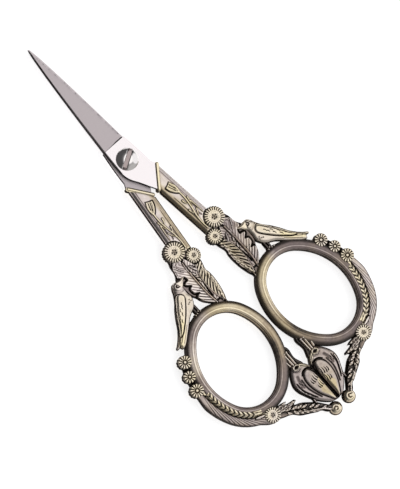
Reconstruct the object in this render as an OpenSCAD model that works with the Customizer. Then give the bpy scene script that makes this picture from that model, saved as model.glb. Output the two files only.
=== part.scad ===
/* [Blades] */
// Pivot axis to the blade tips
blade_length = 39.8; // [34:0.2:46]
// Thickness of the steel of one blade
blade_stock = 1.7; // [1.4:0.05:1.9]
// Gap between the inner faces of the blades
blade_gap = 0.05; // [0.03:0.01:0.12]
// Pivot axis to the line where the ground face begins
ricasso_length = 5.3; // [4.6:0.1:8]
// Centre line to the cutting edge at that line
edge_reach = 3.57; // [3.3:0.05:4.2]
// Centre line to the spine at that line
spine_reach = 3.4; // [3.2:0.05:4]
// Half the width left at the tip
tip_half = 0.16; // [0.1:0.02:0.4]
// Thickness left at the cutting side of the ground face
edge_stock = 0.75; // [0.5:0.05:1]
// Width of the bevel along the cutting edge
edge_bevel = 0.45; // [0.3:0.05:0.7]

/* [Pivot screw] */
// Radius of the domed head
head_r = 3.1; // [2.5:0.05:3.3]
// Height of the dome
head_h = 1.2; // [0.9:0.05:1.6]
// Height of the straight rim under the dome
head_rim = 0.3; // [0.2:0.05:0.5]
// Radius of the smooth shoulder that the upper blade turns on
shoulder_r = 1.75; // [1.4:0.05:2]
// Radius of the threaded end in the lower blade
thread_r = 1.3; // [1:0.05:1.35]
// Radial clearance of the upper blade round the shoulder
pivot_clearance = 0.03; // [0.02:0.01:0.06]
// Width of the screwdriver slot
slot_w = 1.15; // [0.8:0.05:1.4]
// Depth of the slot below the top of the dome
slot_depth = 0.75; // [0.5:0.05:1]
// Turn of the slot from the X axis
slot_turn = 31; // [0:1:90]

/* [Handle casting] */
// Thickness over the highest relief, front to back
handle_t = 4.2; // [4:0.1:5.5]
// How far the shank lies below the highest relief on each face
shank_drop = 0.2; // [0.15:0.05:0.4]
// How far the finger bow lies below it
bow_drop = 0.15; // [0.1:0.05:0.4]
// How far the bird bodies lie below it
bird_drop = 0.55; // [0.4:0.05:0.9]
// How far the leaf plates lie below it
leaf_drop = 0.85; // [0.6:0.05:1.1]
// Seam left between neighbouring forms of the casting
seam = 0.04; // [0.03:0.01:0.08]
// Width of the shank
shank_w = 5.3; // [4.8:0.1:6]
// Lean of the shank away from the centre line
splay = 6.6; // [5.8:0.1:8]
// Rounding of the shank's long edges
shank_round = 1.1; // [0.6:0.1:1.4]
// Pivot axis to the upper end of the collar
collar_start = 5.9; // [5.7:0.1:7]
// Width of the collar bead
collar_w = 0.75; // [0.6:0.05:0.9]
// Width of the tang that runs into the shank
tang_w = 2.6; // [2:0.1:3]
// Length of the tang past the collar
tang_length = 7; // [5:0.5:8]

/* [Finger bow] */
// Length of the finger hole
hole_length = 26.8; // [25.5:0.2:30]
// Width of the finger hole
hole_width = 20.2; // [19:0.2:22.5]
// Width of the bow's bar
bar_w = 3.2; // [2.8:0.1:3.4]
// Rounding of the bar
bar_round = 1.2; // [0.9:0.1:1.3]
// Lean of the hole's long axis towards the centre line
bow_lean = 12.1; // [9:0.2:15]
// Gap between the two bows at rest
bow_gap = 0.8; // [0.6:0.1:2]
// Pivot axis to the top of the bow
bow_top = 43.2; // [42.8:0.1:44.4]

/* [Daisies] */
// Radius of the large daisy on the shank
big_daisy_r = 2.95; // [2.7:0.05:3.05]
// Radius of the small daisy on the shank
small_daisy_r = 2.15; // [1.9:0.05:2.25]
// Radii of the three daisies on the outer rim, from the top
rim_daisy_r = [1.75, 1.5, 1.85];
// Radius of the daisy at the foot of the bow
foot_daisy_r = 2.1; // [1.9:0.05:2.3]
// How far the petals lie below the highest relief
petal_drop = 0.2; // [0.1:0.05:0.4]

/* [Birds and leaves] */
// Half the gap between the flanks of the two lower birds
flank_half_gap = 0.13; // [0.1:0.01:0.3]
// Width of the three crest rods that join each lower bird to its bow
crest_w = 0.6; // [0.5:0.05:0.8]
// Radius of the ball at the handle's end
ball_r = 1.95; // [1.6:0.05:2]
// Centre line to the ball's centre
ball_reach = 2.45; // [2.35:0.05:3.2]
// Width of the leafy garland outside the bow's bar
garland_w = 3.25; // [2.8:0.05:3.6]
// Leaflet pairs along the garland
leaflet_pairs = 12; // [10:1:13]

/* [Hidden] */
$fn = 48;

// Heights, with the lowest relief on z = 0 and the castings' middle at mid_z
mid_z = handle_t / 2;
relief_half = handle_t / 2;
shank_half = relief_half - shank_drop;
bow_half = relief_half - bow_drop;
bird_half = relief_half - bird_drop;
leaf_half = relief_half - leaf_drop;
petal_half = relief_half - petal_drop;
upper_z = mid_z + blade_gap / 2;
lower_z = mid_z - blade_gap / 2 - blade_stock;
// End play of the upper blade under the screw's head
head_play = 0.02;
head_z = upper_z + blade_stock + head_play;

// Where the shank's middle line meets the pivot's level
shank_root = 2.05;
// Collar line of the right handle: its upper end lies outwards, its lower end beside the centre line
collar_reach = 5.4;
crotch_half = 0.75;
collar_fall = 6.2;
collar_top = [collar_reach, -collar_start];
collar_foot = [crotch_half, -collar_start - collar_fall];
collar_dir = (collar_foot - collar_top) / norm(collar_foot - collar_top);
collar_out = [-collar_dir[1], collar_dir[0]];
collar_length = norm(collar_foot - collar_top);

// Four-arc oval of the bow's centre line, long half axis oval_a and short half axis oval_b
oval_a = (hole_length + bar_w) / 2;
oval_b = (hole_width + bar_w) / 2;
oval_h = norm([oval_a, oval_b]);
end_r = (oval_h * oval_h - (oval_a - oval_b) * oval_h) / (2 * oval_a);
side_r = (oval_h * oval_h + (oval_a - oval_b) * oval_h) / (2 * oval_b);
end_c = oval_a - end_r;
side_c = side_r - oval_b;
joint_turn = atan2(side_c, end_c);
long_axis = 90 + bow_lean;

function turned(p, a) = [p[0] * cos(a) - p[1] * sin(a), p[0] * sin(a) + p[1] * cos(a)];
function wrap(a) = a - 360 * floor((a + 180) / 360);

// Centre and radius of the oval's arc whose outward normal points at angle n
function arc_of(n) =
    let (l = wrap(n - long_axis))
    abs(l) <= joint_turn ? [turned([end_c, 0], long_axis), end_r]
    : abs(l) >= 180 - joint_turn ? [turned([-end_c, 0], long_axis), end_r]
    : l > 0 ? [turned([0, -side_c], long_axis), side_r]
    : [turned([0, side_c], long_axis), side_r];
function from_centre(n, out) = arc_of(n)[0] + (arc_of(n)[1] + out) * [cos(n), sin(n)];

bow_centre = [
    bow_gap / 2 - from_centre(180, bar_w / 2)[0],
    -bow_top - from_centre(90, bar_w / 2)[1]
];
// Point beside the bow where its outward normal points at angle n, out from the bar's centre line
function rim(n, out) = bow_centre + from_centre(n, out);

// Point on the shank: down along it from the pivot's level, and across it outwards
function on_shank(down, across) = [
    shank_root + down * sin(splay) + across * cos(splay),
    -down * cos(splay) + across * sin(splay)
];
big_daisy = on_shank(27.4, 2.16);
small_daisy = on_shank(31, -1.7);
rim_daisy_turn = [30.2, 18.6, 6.8];
rim_daisy_out = [2.06, 2.01, 2.13];
foot_daisy_turn = 278.8;
foot_daisy = rim(foot_daisy_turn, bar_w / 2 + 0.95);
perch = rim(86, bar_w / 2);
ball = [ball_reach, foot_daisy[1] - 10.1];

// Stretch of the bow that the garland follows, and its band beside the bar
garland_start = 359;
garland_end = 288;
garland_inner = bar_w / 2 + seam;
garland_outer = bar_w / 2 + garland_w - 1.2;

// Closed smooth curve through points, k steps from each to the next
function bend(a, b, c, d, t) =
    0.5 * (2 * b + (c - a) * t + (2 * a - 5 * b + 4 * c - d) * t * t + (3 * b - a - 3 * c + d) * t * t * t);
function smooth(p, k = 3) =
    let (n = len(p))
    [for (i = [0:n - 1], j = [0:k - 1])
        bend(p[(i + n - 1) % n], p[i], p[(i + 1) % n], p[(i + 2) % n], j / k)];

// Pointed leaf from its stem at the origin along X
function leaf(l, w, steps = 5) = concat(
    [for (i = [0:steps]) [l * i / steps, w / 2 * sin(180 * pow(i / steps, 0.8))]],
    [for (i = [steps - 1:-1:1]) [l * i / steps, -w / 2 * sin(180 * pow(i / steps, 0.8))]]
);
function moved(points, at, a = 0) = [for (p = points) at + turned(p, a)];
// Straight bar of width w from a to b
function bar(a, b, w) =
    let (d = (b - a) / norm(b - a), s = [-d[1], d[0]] * w / 2)
    [a + s, a - s, b - s, b + s];
// Band beside the bow, from turn n0 to n1, between two distances from the bar's centre line
function band(n0, n1, inner, outer, steps) = concat(
    [for (i = [0:steps]) rim(n0 + (n1 - n0) * i / steps, outer)],
    [for (i = [steps:-1:0]) rim(n0 + (n1 - n0) * i / steps, inner)]
);

// Outline raised by the same height to both sides of the casting's middle
module slab(half) {
    translate([0, 0, mid_z - half])
        linear_extrude(2 * half)
            children();
}

// The right handle's form for side 1, its mirror image for side -1
module sided(side) {
    if (side > 0) children();
    else mirror([1, 0, 0]) children();
}

// Outline of everything inside the bow's outer edge, with the seam added
module bow_footprint() {
    polygon(band(0, 360, -bar_w, bar_w / 2 + seam, 90));
}

// Outline of a blade's tang, which starts inside the blade and ends inside the shank
module tang_outline() {
    mid = (collar_top + collar_foot) / 2;
    far = mid + (collar_w + tang_length) * [sin(splay), -cos(splay)];
    polygon(bar(mid - 0.4 * collar_out, far, tang_w));
}

// Blade whose casting is the right handle, lying with its inner face on z = 0
module blade_steel() {
    steps = 10;
    run = blade_length - ricasso_length;
    edge_at = function(u) tip_half + (edge_reach - tip_half) * pow(u, 0.74);
    spine_at = function(u) tip_half + (spine_reach - tip_half) * pow(u, 0.74);
    heel = [4.55, -4.5];
    outline = concat(
        [for (i = [0:steps]) [edge_at(i / steps), blade_length - run * i / steps]],
        [heel, collar_top, collar_foot, [0.1, 1.8 - 2 * collar_start], [-3.4, -3.9], [-3.6, -0.5]],
        [for (i = [steps:-1:0]) [-spine_at(i / steps), blade_length - run * i / steps]]
    );
    fall = atan2(blade_stock - edge_stock, edge_reach + spine_reach);
    edge_lean = atan2(edge_reach - tip_half, run);
    difference() {
        union() {
            linear_extrude(blade_stock)
                polygon(outline);
            linear_extrude(blade_stock)
                tang_outline();
        }
        translate([-spine_reach, ricasso_length, blade_stock])
            rotate([0, fall, 0])
                translate([-5, 0, 0])
                    cube([25, blade_length, 5]);
        translate([edge_reach, ricasso_length, 0])
            rotate([0, 0, edge_lean])
                translate([-edge_bevel, 0, edge_stock])
                    rotate([0, 55, 0])
                        translate([-2, 0, 0])
                            cube([8, 2 * blade_length, 5]);
    }
}

module upper_blade() {
    color("lightsteelblue")
        difference() {
            translate([0, 0, upper_z])
                blade_steel();
            translate([0, 0, upper_z - 1])
                cylinder(h = blade_stock + 2, r = shoulder_r + pivot_clearance);
        }
}

module lower_blade() {
    color("lightsteelblue")
        difference() {
            translate([0, 0, lower_z + blade_stock])
                rotate([0, 180, 0])
                    blade_steel();
            translate([0, 0, lower_z - 1])
                cylinder(h = blade_stock + 2, r = thread_r);
        }
}

module pivot_screw() {
    dome_r = (head_r * head_r + head_h * head_h) / (2 * head_h);
    dome_base = head_z + head_rim;
    color("gainsboro")
        difference() {
            union() {
                cylinder(h = lower_z + blade_stock, r = thread_r);
                translate([0, 0, lower_z + blade_stock])
                    cylinder(h = head_z - lower_z - blade_stock, r = shoulder_r);
                translate([0, 0, head_z])
                    cylinder(h = head_rim, r = head_r);
                intersection() {
                    translate([0, 0, dome_base + head_h - dome_r])
                        sphere(r = dome_r);
                    translate([0, 0, dome_base])
                        cylinder(h = head_h + 1, r = head_r);
                }
            }
            rotate([0, 0, slot_turn])
                translate([-head_r - 1, -slot_w / 2, dome_base + head_h - slot_depth])
                    cube([2 * head_r + 2, slot_w, head_h + 1]);
        }
}

// Half space beyond the collar line, on the handle's side, set back by a distance
module past_collar(back) {
    translate(collar_top + back * collar_out)
        rotate([0, 0, atan2(collar_dir[1], collar_dir[0])])
            translate([-20, 0])
                square([60, 60]);
}

// Slot in collar and shank that the tang of this handle's blade fills
module tang_pocket(side) {
    translate([0, 0, side > 0 ? upper_z : lower_z])
        linear_extrude(blade_stock)
            tang_outline();
}

module collar(side) {
    bead_r = collar_w / 2;
    along = collar_length - collar_w;
    start = collar_top + collar_out * (bead_r + seam) + collar_dir * bead_r;
    color("tan")
        sided(side)
            difference() {
                slab(relief_half)
                    union() {
                        polygon(bar(start, start + along * collar_dir, collar_w));
                        translate(start)
                            circle(r = bead_r);
                        translate(start + along * collar_dir)
                            circle(r = bead_r);
                    }
                tang_pocket(side);
            }
}

module shank(side) {
    flat = shank_w - 2 * shank_round;
    rise = 2 * shank_half - 2 * shank_round;
    shank_end = 29.4;
    color("rosybrown")
        sided(side)
            difference() {
                translate([shank_root, 0, mid_z])
                    rotate([90, 0, splay])
                        linear_extrude(shank_end)
                            union() {
                                square([flat, 2 * shank_half], center = true);
                                square([shank_w, rise], center = true);
                                for (x = [-1, 1], z = [-1, 1])
                                    translate([x * flat / 2, z * rise / 2])
                                        circle(r = shank_round);
                            }
                translate([0, 0, -1])
                    linear_extrude(handle_t + 2)
                        difference() {
                            translate([-20, -30])
                                square([60, 60]);
                            past_collar(collar_w + 2 * seam);
                        }
                translate([big_daisy[0], big_daisy[1], -1])
                    cylinder(h = handle_t + 2, r = big_daisy_r + seam);
                translate([small_daisy[0], small_daisy[1], -1])
                    cylinder(h = handle_t + 2, r = small_daisy_r + seam);
                tang_pocket(side);
            }
    color("rosybrown")
        sided(side)
            vine_relief();
}

// Vine with a tulip bud, on both faces of the shank: its stem, then leaves as [down, across, turn, length]
module vine_relief() {
    stem = [[16.2, 1], [19, 0.6], [22, 0.05], [24, -0.5]];
    leaves = [[17.6, 0.7, 40, 2.3], [17.2, 0.6, 140, 1.8], [21.4, 0.2, 35, 2.4], [20.6, 0.3, 145, 1.8],
        [23.6, -0.3, 60, 2.6]];
    for (face = [-1, 1])
        translate([0, 0, mid_z + (face > 0 ? shank_half : -relief_half)])
            linear_extrude(relief_half - shank_half) {
                for (i = [0:len(stem) - 2]) {
                    a = stem[i];
                    b = stem[i + 1];
                    polygon(bar(on_shank(a[0], a[1]), on_shank(b[0], b[1]), 0.5));
                }
                for (l = leaves)
                    polygon(moved(leaf(l[3], 0.9), on_shank(l[0], l[1]), splay - 90 + (l[2] - 90)));
                polygon(moved(leaf(3.4, 2), on_shank(16.3, 1), 90 + splay - 6));
            }
}

// Daisy of radius r at a point: a disc, a ring of petals and a cluster of seeds, on both faces
module daisy(at, r, petals) {
    core_r = 0.42 * r;
    seed_r = 0.16 * r;
    translate([at[0], at[1], 0]) {
        translate([0, 0, mid_z - petal_half + 0.35])
            cylinder(h = 2 * petal_half - 0.7, r = r);
        slab(petal_half)
            for (i = [0:petals - 1])
                polygon(moved(leaf(r - 0.08, 1.35 * r * sin(180 / petals), 4), [0, 0], 360 * i / petals));
        slab(relief_half - 0.08)
            circle(r = core_r);
        slab(relief_half)
            for (i = [0:4])
                translate(turned([core_r * 0.62, 0], 72 * i))
                    circle(r = seed_r);
    }
}

module shank_daisies(side) {
    color("burlywood")
        sided(side) {
            daisy(big_daisy, big_daisy_r, 18);
            daisy(small_daisy, small_daisy_r, 16);
        }
}

module rim_daisies(side) {
    color("burlywood")
        sided(side) {
            for (i = [0:2])
                daisy(rim(rim_daisy_turn[i], rim_daisy_out[i]), rim_daisy_r[i], 12);
            daisy(foot_daisy, foot_daisy_r, 14);
        }
}

module finger_bow(side) {
    flat = bar_w - 2 * bar_round;
    rise = 2 * bow_half - 2 * bar_round;
    joints = [long_axis - joint_turn, long_axis + joint_turn,
        long_axis + 180 - joint_turn, long_axis + 180 + joint_turn];
    color("tan")
        sided(side)
            difference() {
                union()
                    for (i = [0:3]) {
                        turn = i < 3 ? joints[i + 1] - joints[i] : joints[0] + 360 - joints[3];
                        arc = arc_of(joints[i] + turn / 2);
                        translate([bow_centre[0] + arc[0][0], bow_centre[1] + arc[0][1], mid_z])
                            rotate([0, 0, joints[i]])
                                rotate_extrude(angle = turn)
                                    translate([arc[1], 0]) {
                                        square([flat, 2 * bow_half], center = true);
                                        square([bar_w, rise], center = true);
                                        for (x = [-1, 1], z = [-1, 1])
                                            translate([x * flat / 2, z * rise / 2])
                                                circle(r = bar_round);
                                    }
                    }
                for (i = [0:2])
                    let (at = rim(rim_daisy_turn[i], rim_daisy_out[i]))
                        translate([at[0], at[1], -1])
                            cylinder(h = handle_t + 2, r = rim_daisy_r[i] + seam);
                translate([foot_daisy[0], foot_daisy[1], -1])
                    cylinder(h = handle_t + 2, r = foot_daisy_r + seam);
            }
}

// Leafy garland with a smooth rail outside it, along the lower outer quarter of the bow
module garland(side) {
    step = (garland_end - garland_start) / leaflet_pairs;
    color("darkgray")
        sided(side)
            difference() {
                union() {
                    slab(leaf_half)
                        polygon(band(garland_start, garland_end, garland_inner, garland_outer, 24));
                    slab(bird_half)
                        polygon(band(garland_start, garland_end, garland_outer - 0.8, garland_outer, 24));
                    slab(petal_half)
                        for (i = [0:leaflet_pairs - 1]) {
                            turn = garland_start + step * (i + 0.5);
                            polygon(moved(leaf(1.9, 1), rim(turn, garland_inner + 0.1), turn - 50));
                        }
                }
                translate([0, 0, -1])
                    linear_extrude(handle_t + 2)
                        union() {
                            bow_footprint();
                            daisy_holes();
                        }
            }
}

// Outlines of the daisies, with the seam added
module daisy_holes() {
    for (i = [0:2])
        translate(rim(rim_daisy_turn[i], rim_daisy_out[i]))
            circle(r = rim_daisy_r[i] + seam);
    translate(foot_daisy)
        circle(r = foot_daisy_r + seam);
    translate(big_daisy)
        circle(r = big_daisy_r + seam);
    translate(small_daisy)
        circle(r = small_daisy_r + seam);
}

// Perched bird, with points measured from where its feet stand on the bow
bird_head = [-0.85, 8.85];
bird_head_r = 1.3;

// Head and beak of the perched bird, grown all round by a margin
module perched_head(grow) {
    translate(perch + bird_head)
        circle(r = bird_head_r + grow);
    polygon([perch + bird_head + [-0.7, 1 + grow], perch + bird_head + [-3.2 - grow, 0.9 + grow],
        perch + bird_head + [-3.2 - grow, 0.7 - grow], perch + bird_head + [-0.9, -0.4 - grow]]);
}

module perched_bird(side) {
    body = smooth([[-1.9, 8.3], [-0.2, 9.9], [1.1, 7.9], [2.4, 6], [3.9, 4.3], [5.8, 1.7], [7.5, -0.7],
        [10.7, -3.6], [9.7, -3.9], [9.3, -4.8], [7, -4.2], [4, -1.6], [2.2, 0.2], [-0.7, 1.8],
        [-1.9, 3.7], [-2, 5.3], [-2.3, 7]]);
    wing = smooth([[0.9, 7], [3.5, 4.2], [5.7, 1.2], [7.6, -1.6], [5.9, -0.9], [3.6, 1.2], [1.5, 3.4],
        [0.2, 5.5]]);
    color("tan")
        sided(side)
            difference() {
                union() {
                    slab(bird_half)
                        polygon(moved(body, perch));
                    slab(bird_half - 0.25)
                        perched_head(0);
                    slab(relief_half)
                        polygon(moved(wing, perch));
                    slab(relief_half - 0.15)
                        translate(perch + bird_head)
                            circle(r = 0.9);
                    slab(relief_half)
                        translate(perch + bird_head)
                            circle(r = 0.45);
                    slab(leaf_half)
                        for (x = [-0.6, 0.2])
                            polygon(bar(perch + [x, 3], perch + [x - 0.1, -1], 0.45));
                }
                translate([0, 0, -1])
                    linear_extrude(handle_t + 2)
                        bow_footprint();
            }
}

module leaf_spray(side) {
    plate = [
        [3.2, -32.6], [9.2, -28.8], [10.9, -29.5], [10.95, -31], [11.8, -33], [11.8, -34], [10, -34.6],
        [9.8, -35.2], [10.9, -35.5], [10.1, -36.5], [9.8, -37.2], [10.7, -37.6], [10.1, -38.9],
        [9.7, -39.8], [10.6, -40.3], [10.7, -41.2], [9.2, -43.6], [8, -46], [5.1, -47],
        [4.7, -45.3], [4.2, -43.5], [3.7, -41], [3.2, -38], [3, -34.5]
    ];
    rib = [[7.9, -30.8], [7.8, -35], [7.7, -39], [7.55, -44.4]];
    color("darkgray")
        sided(side)
            difference() {
                union() {
                    slab(leaf_half)
                        polygon(plate);
                    slab(bird_half)
                        for (i = [0:2])
                            polygon(bar(rib[i], rib[i + 1], 0.4));
                    slab(bird_half)
                        for (i = [0:4]) {
                            polygon(moved(leaf(2.9, 1.2), [7.8, -32.8 - 2.2 * i], -42));
                            polygon(moved(leaf(3, 0.9), [6.1, -34.2 - 2 * i], -132));
                        }
                }
                translate([0, 0, -1])
                    linear_extrude(handle_t + 2)
                        union() {
                            bow_footprint();
                            daisy_holes();
                            perched_head(seam);
                        }
            }
}

module finial_branch(side) {
    outline = [
        foot_daisy + [0, -1], foot_daisy + [-3.2, -2.6], foot_daisy + [-5.6, -5.4], foot_daisy + [-7.6, -5.9],
        ball + [5.4, 3.1], ball + [3.8, 2.5], ball + [2.8, 1.2], ball + [1, -0.3], ball + [-0.4, 0.4],
        ball + [0.2, 2], ball + [2.3, 3.8], ball + [3.9, 5.1], ball + [5.8, 6.6], ball + [7.8, 7.9],
        foot_daisy + [-3.4, -1.6]
    ];
    color("darkgray")
        sided(side) {
            difference() {
                union() {
                    slab(leaf_half)
                        polygon(outline);
                    slab(bird_half) {
                        polygon(moved(leaf(4.9, 1.3), foot_daisy + [-1, -0.4], 176));
                        polygon(moved(leaf(7, 1.4), foot_daisy + [-1, -0.9], 190));
                        for (i = [0:3])
                            polygon(moved(leaf(2.5, 1), foot_daisy + [-3.4 - 1.9 * i, -2.6 - 1.1 * i], 238));
                    }
                }
                translate([0, 0, -1])
                    linear_extrude(handle_t + 2)
                        union() {
                            bow_footprint();
                            daisy_holes();
                        }
                translate([ball[0], ball[1], mid_z])
                    sphere(r = ball_r - 0.3);
            }
            translate([ball[0], ball[1], mid_z])
                sphere(r = ball_r);
        }
}

// Lower bird, with heights measured from the daisy at the foot of the bow
module lower_bird(side) {
    y0 = foot_daisy[1];
    x0 = flank_half_gap;
    beak = [x0 + 0.3, 3.7];
    body = smooth([[1.6, 3.2], beak, [1.9, 5.8], [3.3, 6.5], [5.1, 5.9], [6.6, 3.9], [7.7, 1.9], [7.9, -0.2],
        [7.1, -2.2], [5.9, -4.5], [4.1, -6.6], [2.2, -8.3], [x0 - 0.1, -8.4], [x0 - 0.1, -5], [x0 - 0.1, -1],
        [x0, 2]]);
    wing = smooth([[2.2, 3.4], [3.6, 2], [4.2, 0.4], [3.9, -2], [2.9, -4.4], [1.3, -7], [0.6, -6], [0.7, -2],
        [0.6, 1.4]]);
    rods = [[207, 2.7], [208.8, 3.6], [212.6, 4.4]];
    color("darkgray")
        sided(side)
            difference() {
                union() {
                    slab(bird_half)
                        intersection() {
                            polygon(moved(body, [0, y0]));
                            translate([x0, y0 - 20])
                                square([40, 40]);
                        }
                    slab(relief_half)
                        polygon(moved(wing, [0, y0]));
                    slab(relief_half - 0.2)
                        translate([3.4, y0 + 5])
                            circle(r = 1.3);
                    slab(leaf_half)
                        for (r = rods)
                            polygon(bar(rim(r[0], 0.6), [r[1], y0 + 5.6], crest_w));
                    slab(leaf_half)
                        polygon(bar([5.4, y0 - 3.6], [5.6, y0 - 5.6], 0.5));
                }
                translate([0, 0, -1])
                    linear_extrude(handle_t + 2)
                        union() {
                            bow_footprint();
                            translate(ball)
                                circle(r = ball_r + seam);
                        }
            }
}

upper_blade();
lower_blade();
pivot_screw();
collar(1);  // right_collar
shank(1);  // right_shank
shank_daisies(1);  // right_shank_daisies
leaf_spray(1);  // right_leaf_spray
perched_bird(1);  // right_perched_bird
finger_bow(1);  // right_finger_bow
rim_daisies(1);  // right_rim_daisies
garland(1);  // right_garland
finial_branch(1);  // right_finial_branch
lower_bird(1);  // right_lower_bird
collar(-1);  // left_collar
shank(-1);  // left_shank
shank_daisies(-1);  // left_shank_daisies
leaf_spray(-1);  // left_leaf_spray
perched_bird(-1);  // left_perched_bird
finger_bow(-1);  // left_finger_bow
rim_daisies(-1);  // left_rim_daisies
garland(-1);  // left_garland
finial_branch(-1);  // left_finial_branch
lower_bird(-1);  // left_lower_bird
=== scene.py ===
"""Embroidery scissors with bird handles: the finished surfaces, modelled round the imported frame.

Plans are in millimetres, with the pivot at the origin and the blades towards +Y. The right handle is
modelled, and the left one is its mirror image. A cast form is a height over its plan, raised alike on
both faces.
"""
import math

import bpy
import numpy as np
from bpy.props import FloatProperty, FloatVectorProperty, IntProperty, PointerProperty
from mathutils import Matrix, Vector
from mathutils.geometry import delaunay_2d_cdt


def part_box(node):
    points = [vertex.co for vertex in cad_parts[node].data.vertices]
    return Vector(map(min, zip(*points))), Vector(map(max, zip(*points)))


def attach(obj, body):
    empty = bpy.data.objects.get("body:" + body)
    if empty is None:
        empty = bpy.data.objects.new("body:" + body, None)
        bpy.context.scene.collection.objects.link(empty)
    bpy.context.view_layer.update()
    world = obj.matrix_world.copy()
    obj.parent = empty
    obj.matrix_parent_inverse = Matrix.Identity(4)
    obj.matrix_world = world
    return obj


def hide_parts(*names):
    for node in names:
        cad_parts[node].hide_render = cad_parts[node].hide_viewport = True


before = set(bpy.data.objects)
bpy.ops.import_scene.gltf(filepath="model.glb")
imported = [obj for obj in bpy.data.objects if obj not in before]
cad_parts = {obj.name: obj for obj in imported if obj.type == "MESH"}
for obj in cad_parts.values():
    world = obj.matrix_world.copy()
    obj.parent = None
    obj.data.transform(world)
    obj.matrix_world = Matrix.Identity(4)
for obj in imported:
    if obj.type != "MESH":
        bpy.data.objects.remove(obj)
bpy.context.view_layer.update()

bl_info = {
    "name": "Embroidery Scissors",
    "version": (1, 0, 0),
    "blender": (4, 5, 0),
    "location": "View3D > Sidebar > Scissors",
    "description": "Models the steel and the cast bird handles of a pair of embroidery scissors",
    "category": "Add Mesh",
}

MM = 0.001
RIGHT = "upper_lever"
LEFT = "lower_lever"
# Share of the way from the black finish to rubbed metal that the sides of a casting have: their patina
# together with painted shade
WALL_TONE = 0.17
# How much black finish and painted shade darken the metal, and how bright a rubbed ridge is
FINISH_AND_SHADE_DEPTH = 0.75
RUBBED = -0.45
# Width of the dark line beside a ridge, and round a leaf
RIDGE_LINE = 0.15
LEAF_LINE = 0.16
# Half the width that a ridge or a groove keeps where it runs out
FINEST = 0.02
# Chamfer along the lip of a casting, and half its thickness where it is thinnest
LIP = 0.12
LEAST = 0.35
# Most pairs of a point and a run of a path that are compared at a time
BLOCK_SIZE = 400000


def box_mm(node):
    """Lowest and highest corner of a CAD node, in millimetres."""
    low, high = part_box(node)
    return np.array(low) / MM, np.array(high) / MM


COLLAR_BOX = box_mm("right_collar")
UPPER_BOX = box_mm("upper_blade")
LOWER_BOX = box_mm("lower_blade")
SCREW_BOX = box_mm("pivot_screw")
BALL_FOOT = box_mm("right_finial_branch")[0][1]
# Middle of the casting, and half its thickness over the highest relief
MID_Z = (COLLAR_BOX[0][2] + COLLAR_BOX[1][2]) / 2
TOP = (COLLAR_BOX[1][2] - COLLAR_BOX[0][2]) / 2


def length_of(name, millimetres, description):
    """A length that a user may change, given in millimetres."""
    return FloatProperty(
        name=name, default=millimetres * MM, unit="LENGTH", precision=5, min=0, description=description
    )


def angle_of(name, degrees, description):
    """An angle that a user may change, given in degrees."""
    return FloatProperty(name=name, default=math.radians(degrees), unit="ROTATION", description=description)


def colour_of(name, colour, description):
    """A linear colour that a user may change."""
    return FloatVectorProperty(
        name=name, subtype="COLOR", size=3, min=0, max=1, default=colour, description=description
    )


class BladeSizes(bpy.types.PropertyGroup):
    """Sizes of the two blades."""

    length: length_of("Length", 39.8, "Pivot axis to the tips")
    ricasso: length_of("Ricasso", 5.3, "Pivot axis to the line where the ground face begins")
    edge_reach: length_of("Edge reach", 3.57, "Centre line to the cutting edge at that line")
    spine_reach: length_of("Spine reach", 3.4, "Centre line to the spine at that line")
    tip_half: length_of("Tip", 0.16, "Half the width left at the tip")
    edge_stock: length_of("Edge thickness", 0.75, "Thickness at the cutting side of the ground face")
    chamfer: length_of("Chamfer", 0.24, "Width of the dark chamfer along the spine")


class ScrewSizes(bpy.types.PropertyGroup):
    """Sizes of the pivot screw."""

    radius: length_of("Head radius", 3.1, "Radius of the domed head")
    dome: length_of("Dome", 1.2, "Height of the dome over its rim")
    rim: length_of("Rim", 0.3, "Height of the straight rim")
    slot_width: length_of("Slot width", 1.15, "Width of the screwdriver slot")
    slot_depth: length_of("Slot depth", 0.75, "Depth of the slot below the top")
    slot_turn: angle_of("Slot turn", 31, "Turn of the slot from the X axis")


class HandleSizes(bpy.types.PropertyGroup):
    """Sizes of the cast handles."""

    hole_length: length_of("Hole length", 26.8, "Length of the finger hole")
    hole_width: length_of("Hole width", 20.2, "Width of the finger hole")
    bar_width: length_of("Bar width", 3.2, "Width of the finger bow's bar")
    bow_lean: angle_of("Bow lean", 12.1, "Lean of the hole's long axis towards the centre line")
    bow_gap: length_of("Bow gap", 0.8, "Gap between the two bows when closed")
    bow_top: length_of("Bow top", 43.2, "Pivot axis to the top of the bow")
    shank_width: length_of("Shank width", 5.3, "Width of the shank")
    splay: angle_of("Splay", 6.6, "Lean of the shank away from the centre line")
    collar_start: length_of("Collar start", 5.9, "Pivot axis to the upper end of the collar")
    collar_width: length_of("Collar width", 0.75, "Width of the collar bead")
    grain: length_of("Grain", 0.13, "Distance between the points that carry the relief")


class FinishColours(bpy.types.PropertyGroup):
    """Colours of the metals."""

    brass_crest: colour_of("Brass crest", (0.93, 0.81, 0.52), "Rubbed brass on the ridges")
    brass_mid: colour_of("Brass field", (0.43, 0.335, 0.20), "Antiqued brass between ridge and recess")
    grey_crest: colour_of("Grey crest", (0.86, 0.77, 0.72), "Rubbed metal on the ridges of the grey forms")
    grey_mid: colour_of("Grey field", (0.27, 0.215, 0.205), "Mauve-grey metal of the grey forms")
    recess: colour_of("Recess", (0.010, 0.007, 0.005), "Black finish left in the recesses")
    # The sides' colour holds painted shade as well as their patina
    wall: colour_of("Wall", (0.085, 0.075, 0.068), "Darkened sides of the casting")
    ground: colour_of("Ground steel", (0.53, 0.475, 0.485), "Satin ground face of the blades")
    polished: colour_of("Polished steel", (0.88, 0.825, 0.835), "Mirror-polished flats of the blades")
    # Painted shade on the sides of the blades
    blade_side_shade: colour_of("Blade side", (0.095, 0.088, 0.088), "Dark sides of the blades")
    screw: colour_of("Screw", (0.92, 0.88, 0.86), "Polished steel of the pivot screw")
    slot: colour_of("Screw slot", (0.42, 0.35, 0.34), "Rough floor of the screw's slot")


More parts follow.
